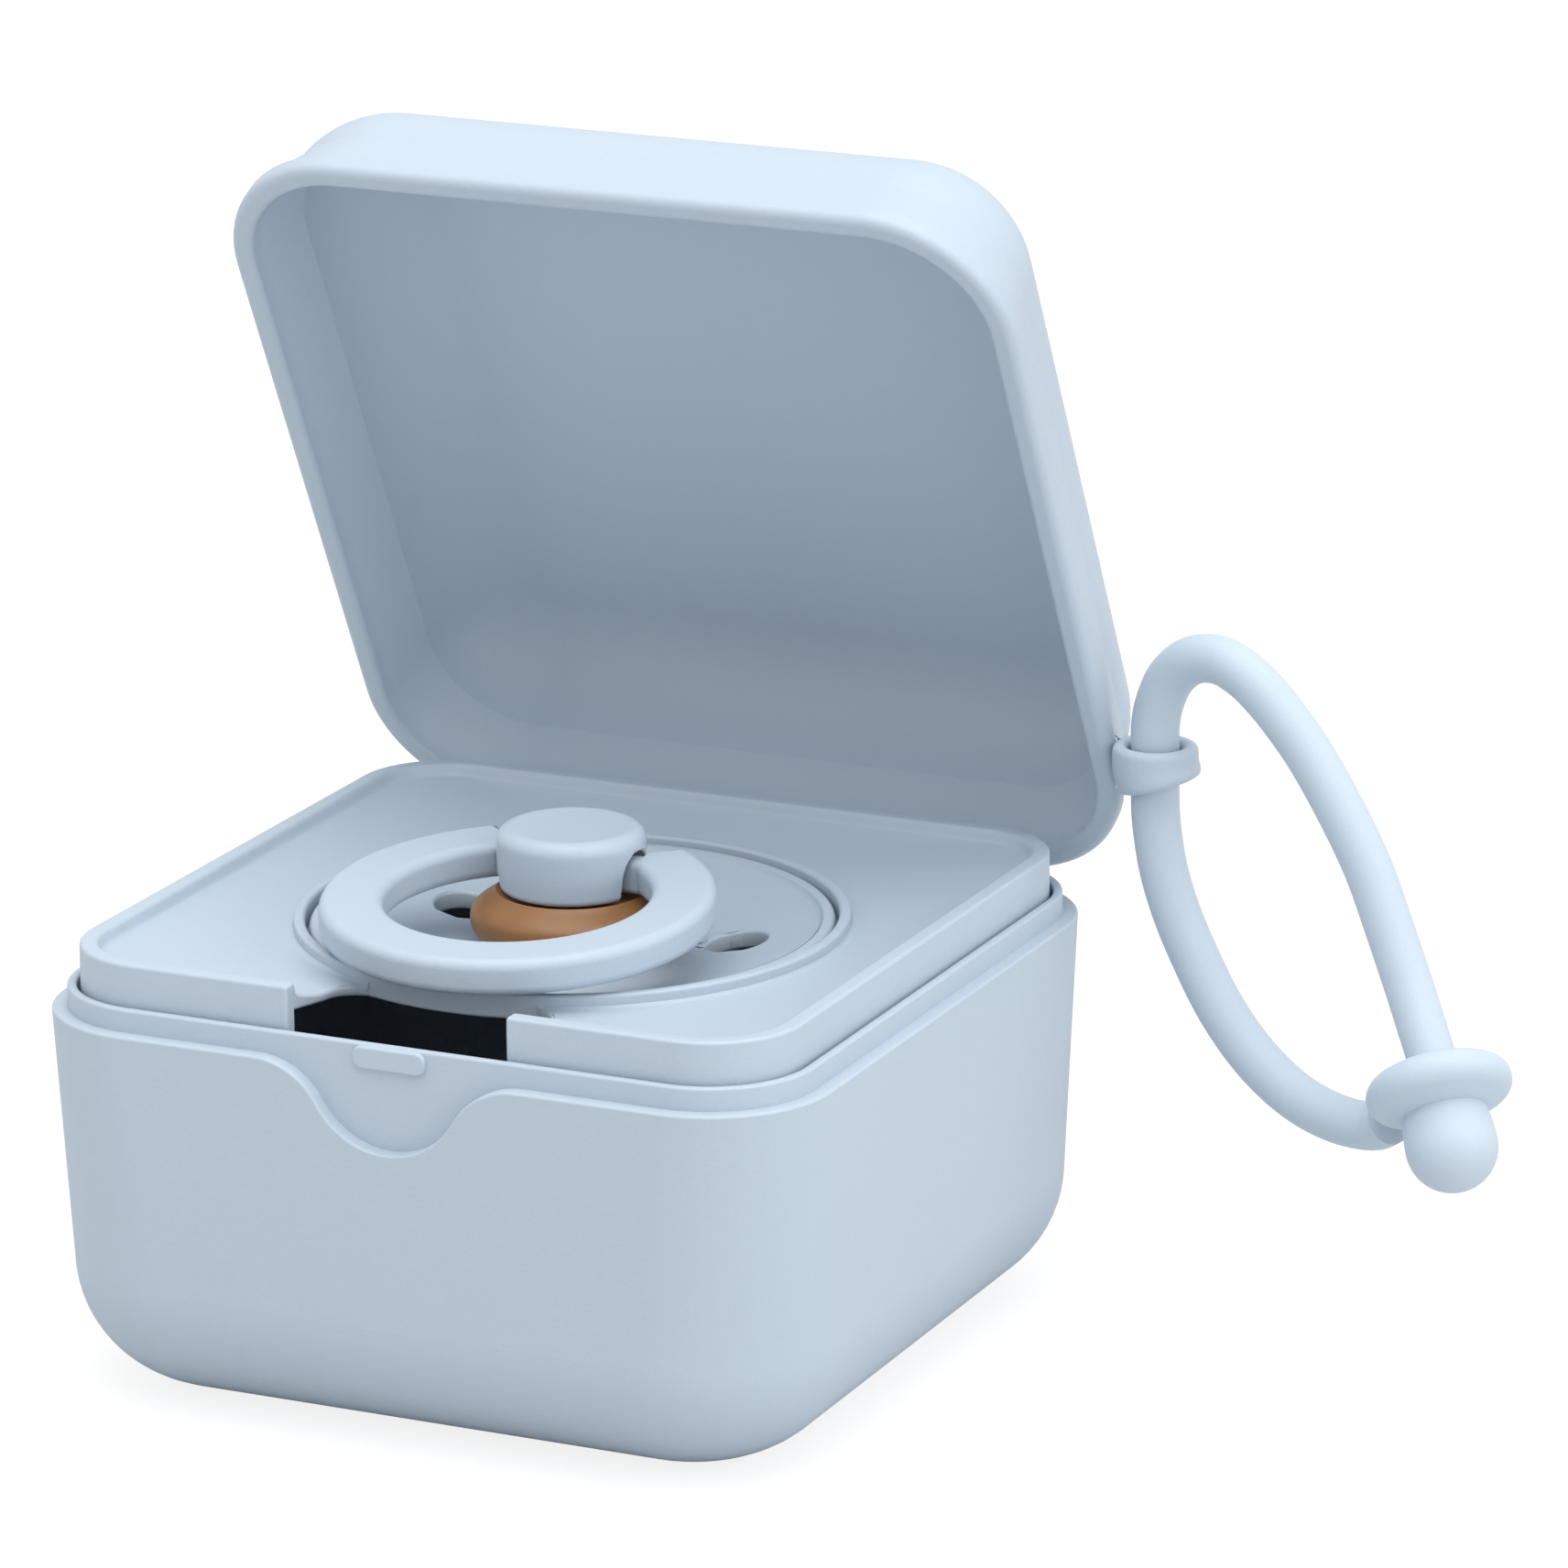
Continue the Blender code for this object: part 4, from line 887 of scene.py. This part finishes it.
class PACIFIERBOX_OT_lid(Operator):
    """Model the lid: a rounded shell with a beaded rim, its hinge knuckle and the eye for the strap"""

    bl_idname = "pacifier_box.lid"
    bl_label = "Lid"

    def execute(self, context):
        settings = context.scene.pacifier_box
        base, lid = settings.base, settings.lid
        rim = base.shoulder + FIT_GAP
        bead_top = rim + BEAD_HEIGHT
        bead = base.half + lid.overhang
        wall, wall_corner = bead - CREASE, BEAD_CORNER - CREASE
        top, top_corner = wall - LID_DRAFT, wall_corner - LID_DRAFT / 2
        inside, inside_corner = top - lid.wall, top_corner - lid.wall
        straight_top = rim + lid.straight
        face, face_corner = bead - RIM, BEAD_CORNER - RIM
        rings = [(top, top_corner, straight_top + lid.fillet), (top, top_corner, straight_top)]
        for step in range(CREASE_STEPS + 1):
            inset = CREASE * (1 + math.cos(math.pi * step / CREASE_STEPS)) / 2
            level = bead_top + CREASE_HEIGHT * (1 - step / CREASE_STEPS)
            rings.append((bead - inset, BEAD_CORNER - inset, level))
        for reach, level in arc((-RIM_ROUND, rim + RIM_ROUND), RIM_ROUND, 0, -90, 7):
            rings.append((bead + reach, BEAD_CORNER + reach, level))
        for reach, level in arc((RIM_SOFT, rim + RIM_SOFT), RIM_SOFT, 270, 180, 5):
            rings.append((face + reach, face_corner + reach, level))
        rings += [
            (face, face_corner, bead_top - RIM_SOFT),
            (face - CREASE / 2, face_corner - CREASE / 2, bead_top + CREASE / 2),
            (inside, inside_corner, straight_top),
            (inside, inside_corner, straight_top + lid.fillet - lid.wall),
        ]
        shell = loft("lid_shell", rings)
        fillet(shell, rings[0], lid.fillet - NEAR * 5)
        fillet(shell, rings[-1], lid.fillet - lid.wall - NEAR * 5)
        leave(shell)
        self.add_hinge(shell, settings)
        round_edges(shell, LID_EDGE)
        hinge = Matrix.Translation((0.0, *hinge_centre(settings.base)))
        turn = hinge @ Matrix.Rotation(-lid.opening, 4, "X")
        place_in_mesh(shell, turn @ hinge.inverted())
        finish(shell, PLASTIC, "lid", "lid")
        eye = self.make_eye(settings)
        away = Matrix.Translation((lid.eye_x, -EYE_FORWARD, EYE_UP))
        place_in_mesh(eye, turn @ away @ Matrix.Rotation(lid.opening, 4, "X"))
        finish(eye, PLASTIC, "lid")
        return {"FINISHED"}

    def add_hinge(self, shell, settings):
        lid = settings.lid
        centre = hinge_centre(settings.base)
        reach = KNUCKLE_HALF + FIT_GAP / 2
        for side in (1, -1):
            end = side * (lid.hinge_half + FIT_GAP)
            cut(shell, rod_x("relief", lid.barrel + FIT_GAP, side * reach, end, centre))
        join(shell, rod_x("knuckle", lid.barrel, -KNUCKLE_HALF, KNUCKLE_HALF, centre))
        far = KNUCKLE_HALF + FIT_GAP / 3
        cut(shell, rod_x("pin_bore", PIN + FIT_GAP, -far, far, centre))

    def make_eye(self, settings):
        """The eye: a soft ring on a flared root, blended by a remesh."""
        hole = settings.strap.diameter / 2 + FIT_GAP
        half = EYE_HEIGHT / 2
        section = rounded_section((hole, -half), (hole + EYE_WALL, half), EYE_WALL * EYE_ROUND)
        eye = turned("lid_eye", section, ROD_SEGMENTS, closed=True)
        helpers = [self.eye_root(settings)]
        pivot = Matrix.Translation((hole + EYE_WALL, 0.0, 0.0))
        for tilt in EYE_LEANS:
            ring = turned("eye_lean", section, ROD_SEGMENTS, closed=True)
            place_in_mesh(ring, pivot @ Matrix.Rotation(math.radians(-tilt), 4, "Y") @ pivot.inverted())
            helpers.append(ring)
        take(eye)
        for helper in helpers:
            helper.select_set(True)
        bpy.ops.object.join()
        remesh = eye.modifiers.new("one_skin", "REMESH")
        remesh.mode = "VOXEL"
        remesh.voxel_size = EYE_VOXEL
        bpy.ops.object.modifier_apply(modifier=remesh.name)
        soften = eye.modifiers.new("soft_blend", "SMOOTH")
        soften.factor = 0.5
        soften.iterations = EYE_SOFTENING
        bpy.ops.object.modifier_apply(modifier=soften.name)
        return eye

    def eye_root(self, settings):
        base, lid, strap = settings.base, settings.lid, settings.strap
        slant = math.pi / 2 - lid.opening
        bead_line = Vector((0.0, math.sin(slant), -math.cos(slant)))
        bead_side = Vector((0.0, math.cos(slant), math.sin(slant)))
        near = -(lid.eye_x - base.half - lid.overhang) - EYE_WALL / 2
        ring = -strap.diameter / 2 - FIT_GAP * 2
        root = begin("eye_root")
        for step in range(ROOT_STEPS + 1):
            share = step / ROOT_STEPS
            ease = share * share * (3 - 2 * share)
            wide = Vector((0.0, ROOT_WIDE[0], 0.0)).lerp(bead_side * ROOT_WIDE[1], ease)
            tall = Vector((0.0, 0.0, ROOT_TALL[0])).lerp(bead_line * ROOT_TALL[1], ease)
            centre = Vector((ring + (near - ring) * share, 0.0, -ROOT_DROP * (1 - share)))
            angles = [2 * math.pi * i / ROD_SEGMENTS for i in range(ROD_SEGMENTS)]
            trace(root, [centre + wide * math.cos(a) + tall * math.sin(a) for a in angles], closed=True)
        bpy.ops.mesh.select_mode(type="EDGE")
        bpy.ops.mesh.select_all(action="SELECT")
        bpy.ops.mesh.bridge_edge_loops()
        pick(root, "EDGE", lambda edge: edge.is_boundary)
        bpy.ops.mesh.fill()
        return leave(root)


class PACIFIERBOX_OT_hinge_pin(Operator):
    """Give the hinge pin its steel and the hidden plug its plastic"""

    bl_idname = "pacifier_box.hinge_pin"
    bl_label = "Hinge Pin"

    def execute(self, context):
        for node, paint in (("hinge_pin", STEEL), ("pacifier_plug", PLASTIC)):
            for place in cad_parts[node].material_slots:
                place.material = painted(paint)
        return {"FINISHED"}


class PACIFIERBOX_OT_shield(Operator):
    """Model the pacifier's shield: a dished disc with a raised bead and two vents"""

    bl_idname = "pacifier_box.shield"
    bl_label = "Shield"

    def execute(self, context):
        settings = context.scene.pacifier_box
        tray, pacifier = settings.tray, settings.pacifier
        low = settings.base.shoulder + tray.rise - COLLAR_DROP - STEP_DROP + FIT_GAP
        top = low + SHIELD_EDGE
        centre = top - DISH
        hole = NECK + FIT_GAP
        inner = pacifier.shield - BEAD
        steps = 14
        radii = [hole + (inner - hole) * i / steps for i in range(steps + 1)]
        rise = DISH - BEAD_RISE
        face = [(r, centre + rise * (r / inner) ** 3) for r in radii]
        back = [(r, z - PLATE) for r, z in face[:-2]]
        soft = BEAD / 3
        profile = [
            *back,
            (inner, low),
            *arc((pacifier.shield - soft, low + soft), soft, 270, 360, 4),
            *arc((pacifier.shield - soft, top - soft), soft, 0, 90, 5),
            *arc((inner + soft, top - soft), soft, 90, 150, 4),
            *face[::-1],
        ]
        shield = turned("shield_disc", profile, closed=True)
        for side in (1, -1):
            outline = arc((side * VENT_X, VENT_Y), VENT, 0, 360, ROD_SEGMENTS)[:-1]
            cut(shield, prism("vent_cut", outline, along_z, centre - PLATE * 2, top + OVERRUN))
        round_edges(shield, FIT_GAP)
        finish(shield, PLASTIC, "pacifier", "pacifier_shield")
        return {"FINISHED"}


class PACIFIERBOX_OT_teat(Operator):
    """Model the rubber teat: a swelling flange over the shield, a neck and a hollow bulb below"""

    bl_idname = "pacifier_box.teat"
    bl_label = "Teat"

    def execute(self, context):
        settings = context.scene.pacifier_box
        tray, pacifier = settings.tray, settings.pacifier
        low = settings.base.shoulder + tray.rise - COLLAR_DROP - STEP_DROP + FIT_GAP
        shield_top = low + SHIELD_EDGE - DISH
        foot = shield_top + FIT_GAP * 2
        lip = shield_top - PLATE - FIT_GAP
        top = RUBBER_TOP
        height = top - foot
        flange = smooth_line([(pacifier.flange * r, foot + height * h) for r, h in FLANGE_SHARES], 4)
        tip = RUBBER_TIP
        bulb = smooth_line([(pacifier.bulb * r, tip + (lip - tip) * h) for r, h in BULB_SHARES], 4)
        wall = RUBBER_WALL
        hollow_radius, hollow_height = pacifier.bulb - wall, lip - tip - wall
        hollow = [(hollow_radius * r, tip + wall + hollow_height * h) for r, h in HOLLOW_SHARES]
        seat = top - wall - FIT_GAP * 3
        bore, neck_bore = PLUG + FIT_GAP, PLUG_HEAD + FIT_GAP
        profile = [
            *bulb,
            (NECK + wall, lip - FIT_GAP),
            (NECK + wall - FIT_GAP, lip),
            (NECK, lip),
            (NECK, foot),
            *flange,
            (pacifier.knob + FIT_GAP / 10, top + FIT_GAP),
            (FLANGE_TOP, top),
            (bore, top),
            (bore, seat),
            (neck_bore, seat),
            (neck_bore, hollow[-1][1] + wall * 3),
            *smooth_line(hollow, 3)[::-1],
        ]
        teat = turned("teat_rubber", [tuple(point) for point in profile])
        finish(teat, RUBBER, "pacifier", "pacifier_teat")
        return {"FINISHED"}


class PACIFIERBOX_OT_knob(Operator):
    """Model the knob that holds the ring handle, with a slot for it on each side"""

    bl_idname = "pacifier_box.knob"
    bl_label = "Knob"

    def execute(self, context):
        pacifier = context.scene.pacifier_box.pacifier
        foot = RUBBER_TOP + FIT_GAP
        foot_radius = pacifier.knob - KNOB_TAPER
        socket = PLUG + FIT_GAP
        socket_top = foot + PLUG_REACH + FIT_GAP
        shoulder = pacifier.knob_top - KNOB_ROUND
        soft = KNOB_ROUND / 2
        waist = (pacifier.knob - KNOB_TAPER / 4, (foot + shoulder) / 2)
        side = smooth_line([(foot_radius, foot + soft), waist, (pacifier.knob, shoulder)], 5)
        lip = pacifier.knob - KNOB_ROUND
        dish = [(pacifier.knob * r, pacifier.knob_top - KNOB_DISH * h) for r, h in DISH_SHARES]
        dish = smooth_line([(lip, pacifier.knob_top), *dish], 5)
        profile = [
            (0.0, socket_top),
            (socket, socket_top),
            (socket, foot),
            *arc((foot_radius - soft, foot + soft), soft, 270, 350, 5),
            *side[:-1],
            *arc((lip, shoulder), KNOB_ROUND, 0, 90, 9)[:-1],
            *dish,
        ]
        knob = turned("knob_cap", [tuple(point) for point in profile])
        floor = pacifier.knob - TONGUE_REACH
        radius = KNOB_SLOT
        below = foot - OVERRUN
        outline = [*arc((0.0, PIVOT), radius, 0, 180, 20), (-radius, below), (radius, below)]
        for side in (1, -1):
            cut(knob, prism("knob_slot", outline, along_x, side * floor, side * (pacifier.knob + OVERRUN)))
        round_edges(knob, FIT_GAP / 2)
        finish(knob, PLASTIC, "pacifier", "pacifier_knob")
        return {"FINISHED"}


class PACIFIERBOX_OT_ring(Operator):
    """Model the ring handle, open at the back, with a stub on each end"""

    bl_idname = "pacifier_box.ring"
    bl_label = "Ring Handle"

    def execute(self, context):
        pacifier = context.scene.pacifier_box.pacifier
        half = pacifier.ring_thick / 2
        section = rounded_section((pacifier.ring_inner, -half), (pacifier.ring_outer, half), RING_ROUND)
        ring = turned("ring_handle", section, closed=True)
        place_in_mesh(ring, Matrix.Translation((0.0, -RING_REACH, 0.0)))
        gap = pacifier.knob + FIT_GAP
        end, far, thick = RING_END, pacifier.ring_outer, pacifier.ring_thick
        front = -RING_REACH / 2
        outline = ((-gap, front), (gap, front), (gap, far), (-gap, far))
        cut(ring, prism("gap_cut", outline, along_z, -thick, thick))
        for side in (1, -1):
            flare = side * (gap + end * END_FLARE[0])
            outline = (
                (side * gap / 2, end),
                (side * gap, end),
                (flare, end * END_FLARE[1]),
                (flare, far),
                (side * gap / 2, far),
            )
            cut(ring, prism("end_cut", outline, along_z, -thick, thick))
        low, high = (-TONGUE * TONGUE_FRONT, -TONGUE), (end * TONGUE_BACK, TONGUE)
        section = rounded_section(low, high, TONGUE * TONGUE_CORNER)
        for side in (1, -1):
            start, stop = side * (gap - TONGUE_REACH), side * (gap + end)
            join(ring, prism("tongue", section, along_x, start, stop))
        round_edges(ring, FIT_GAP / 2, held=True)
        turn = Matrix.Translation((0.0, 0.0, PIVOT)) @ Matrix.Rotation(pacifier.ring_tilt, 4, "X")
        place_in_mesh(ring, turn)
        finish(ring, PLASTIC, "handle", "pacifier_ring")
        return {"FINISHED"}


class PACIFIERBOX_OT_strap(Operator):
    """Model the strap: a round cord through the eye, the disc on one end and the ball on the other"""

    bl_idname = "pacifier_box.strap"
    bl_label = "Strap"

    def execute(self, context):
        strap = context.scene.pacifier_box.strap
        axis = Vector(strap.disc_axis).normalized()
        centre = Vector(strap.disc_centre)
        turn = Vector((0.0, 0.0, 1.0)).rotation_difference(axis).to_matrix().to_4x4()
        half = strap.disc_height / 2
        edge = arc((strap.disc - half * DISC_EDGE, 0.0), half * DISC_EDGE, -58, 90, 22)
        under = [(strap.disc * r, -half * h, 0.0) for r, h in UNDER_SHARES]
        under = [tuple(point.xy) for point in smooth_line([*under, (*edge[0], 0.0)], 5)]
        top = (strap.disc * DISC_TOP_SHARE[0], half * DISC_TOP_SHARE[1])
        profile = [*under[:-1], *edge, top, (0.0, half)]
        disc = turned("strap_disc", profile)
        place_in_mesh(disc, Matrix.Translation(centre) @ turn)
        finish(disc, SILICONE, "strap", "strap_eyelet")
        ball_centre = centre - axis * strap.ball_drop
        top = strap.ball_drop - half * BALL_NECK
        profile = [(strap.ball * point.x, top * point.y) for point in smooth_line(STOP_SHARES, 5)]
        profile = [(0.0, top), *profile, *arc((0.0, 0.0), strap.ball, 0, -90, 24)[1:-1], (0.0, -strap.ball)]
        ball = turned("strap_stop", profile)
        place_in_mesh(ball, Matrix.Translation(ball_centre) @ turn)
        finish(ball, SILICONE, "strap", "strap_ball")
        self.add_cord(strap, centre, axis, ball_centre, (disc, ball))
        return {"FINISHED"}

    def add_cord(self, strap, centre, axis, ball_centre, with_pieces):
        tail = Vector(strap.tail)
        tail -= axis * tail.dot(axis)
        start = centre + tail.normalized() * (strap.disc + FIT_GAP * 2)
        above = centre + axis * strap.disc_height / 2
        end = ball_centre + axis * (strap.ball * CORD_END + FIT_GAP)
        points = smooth_line([start, *STRAP_ROUTE, above, end], 6)
        curve = bpy.data.curves.new("strap_loop", "CURVE")
        curve.dimensions = "3D"
        curve.bevel_depth = strap.diameter / 2
        curve.bevel_resolution = 12
        curve.use_fill_caps = True
        spline = curve.splines.new("POLY")
        spline.points.add(len(points) - 1)
        for knot, point in zip(spline.points, points):
            knot.co = (*point, 1.0)
        spline.use_smooth = True
        cord = bpy.data.objects.new("strap_loop", curve)
        bpy.context.scene.collection.objects.link(cord)
        dress(cord, SILICONE, "strap", "strap_cord")
        measured = sum((b - a).length for a, b in zip(points, points[1:]))


class PACIFIERBOX_OT_stage(Operator):
    """Set the stage: a pale floor, soft lights and the camera"""

    bl_idname = "pacifier_box.stage"
    bl_label = "Stage"

    def execute(self, context):
        settings = context.scene.pacifier_box
        self.add_floor(settings)
        self.add_sky(settings)
        self.add_lamps()
        self.add_camera(settings.stage)
        context.scene.view_settings.view_transform = "Standard"
        return {"FINISHED"}

    def add_floor(self, settings):
        """The floor: white to the camera, with the object's soft shadow left in it."""
        deselect()
        bpy.ops.mesh.primitive_plane_add(size=FLOOR_SIZE, location=(0.0, 0.0, -HAIR))
        floor = bpy.context.object
        floor.name = "floor"
        paint = Paint("floor_white")
        paint.coat(Base_Color=(*settings.finishes.floor, 1.0), Roughness=0.9, Specular_IOR_Level=0.1)
        glow = paint.node("ShaderNodeEmission", None, {"Color": (1.0, 1.0, 1.0, 1.0), "Strength": FLOOR_GLOW})
        seen = paint.node("ShaderNodeLightPath", output="Is Camera Ray")
        sockets = {0: seen * FLOOR_SHARE, 1: Socket(paint, paint.shader.outputs[0]), 2: glow}
        mixed = paint.node("ShaderNodeMixShader", None, sockets)
        paint.feed(paint.tree.nodes["Material Output"].inputs["Surface"], mixed)
        floor.data.materials.append(paint.material)

    def add_sky(self, settings):
        world = bpy.data.worlds.new("soft_sky")
        world.use_nodes = True
        bpy.context.scene.world = world
        nodes, links = world.node_tree.nodes, world.node_tree.links
        path = nodes.new("ShaderNodeLightPath")
        level = nodes.new("ShaderNodeMix")
        level.inputs["A"].default_value = settings.stage.sky
        level.inputs["B"].default_value = 1.0
        links.new(path.outputs["Is Camera Ray"], level.inputs["Factor"])
        links.new(level.outputs["Result"], nodes["Background"].inputs["Strength"])
        nodes["Background"].inputs["Color"].default_value = (1.0, 1.0, 1.0, 1.0)

    def add_lamps(self):
        target = Vector((0.0, 0.0, 0.03))
        for name, place, size, power in LIGHTS:
            bpy.ops.object.light_add(type="AREA", location=place)
            lamp = bpy.context.object
            lamp.name = name
            lamp.data.shape = "SQUARE"
            lamp.data.size = size
            lamp.data.energy = power
            lamp.rotation_euler = (target - Vector(place)).to_track_quat("-Z", "Y").to_euler()

    def add_camera(self, stage):
        turn = (
            Matrix.Rotation(stage.azimuth, 4, "Z")
            @ Matrix.Rotation(math.pi / 2 - stage.elevation, 4, "X")
            @ Matrix.Rotation(stage.roll, 4, "Z")
        )
        bpy.ops.object.camera_add()
        camera = bpy.context.object
        camera.name = "photo_camera"
        camera.matrix_world = Matrix.Translation(stage.place) @ turn
        camera.data.sensor_width = SENSOR
        camera.data.lens = stage.lens
        camera.data.clip_end = FAR_AWAY
        bpy.context.scene.camera = camera


class PACIFIERBOX_PT_panel(Panel):
    """The box's pieces and sizes in the sidebar"""

    bl_idname = "PACIFIERBOX_PT_panel"
    bl_label = "Pacifier Box"
    bl_space_type = "VIEW_3D"
    bl_region_type = "UI"
    bl_category = "Pacifier Box"

    def draw(self, context):
        settings = context.scene.pacifier_box
        for operator in OPERATORS:
            self.layout.operator(operator.bl_idname)
        for group in settings.bl_rna.properties:
            if group.type != "POINTER" or group.identifier == "rna_type":
                continue
            section = self.layout.box()
            section.label(text=group.name)
            sizes = getattr(settings, group.identifier)
            for size in sizes.bl_rna.properties:
                if size.identifier not in ("rna_type", "name"):
                    section.prop(sizes, size.identifier)


GROUPS = (BaseSizes, TraySizes, LidSizes, PacifierSizes, StrapSizes, Finishes, StageSizes, BoxSettings)
OPERATORS = (
    PACIFIERBOX_OT_stage,
    PACIFIERBOX_OT_strap,
    PACIFIERBOX_OT_base,
    PACIFIERBOX_OT_tray,
    PACIFIERBOX_OT_lid,
    PACIFIERBOX_OT_hinge_pin,
    PACIFIERBOX_OT_shield,
    PACIFIERBOX_OT_teat,
    PACIFIERBOX_OT_knob,
    PACIFIERBOX_OT_ring,
)


def register():
    for group in (*GROUPS, *OPERATORS, PACIFIERBOX_PT_panel):
        bpy.utils.register_class(group)
    bpy.types.Scene.pacifier_box = PointerProperty(
        type=BoxSettings, name="Pacifier Box", description="Sizes and colours of the pacifier box"
    )


def unregister():
    del bpy.types.Scene.pacifier_box
    for group in (PACIFIERBOX_PT_panel, *OPERATORS[::-1], *GROUPS[::-1]):
        bpy.utils.unregister_class(group)


def main():
    register()
    deselect()
    for operator in OPERATORS:
        getattr(bpy.ops.pacifier_box, operator.bl_idname.split(".")[1])()


if __name__ == "__main__":
    main()
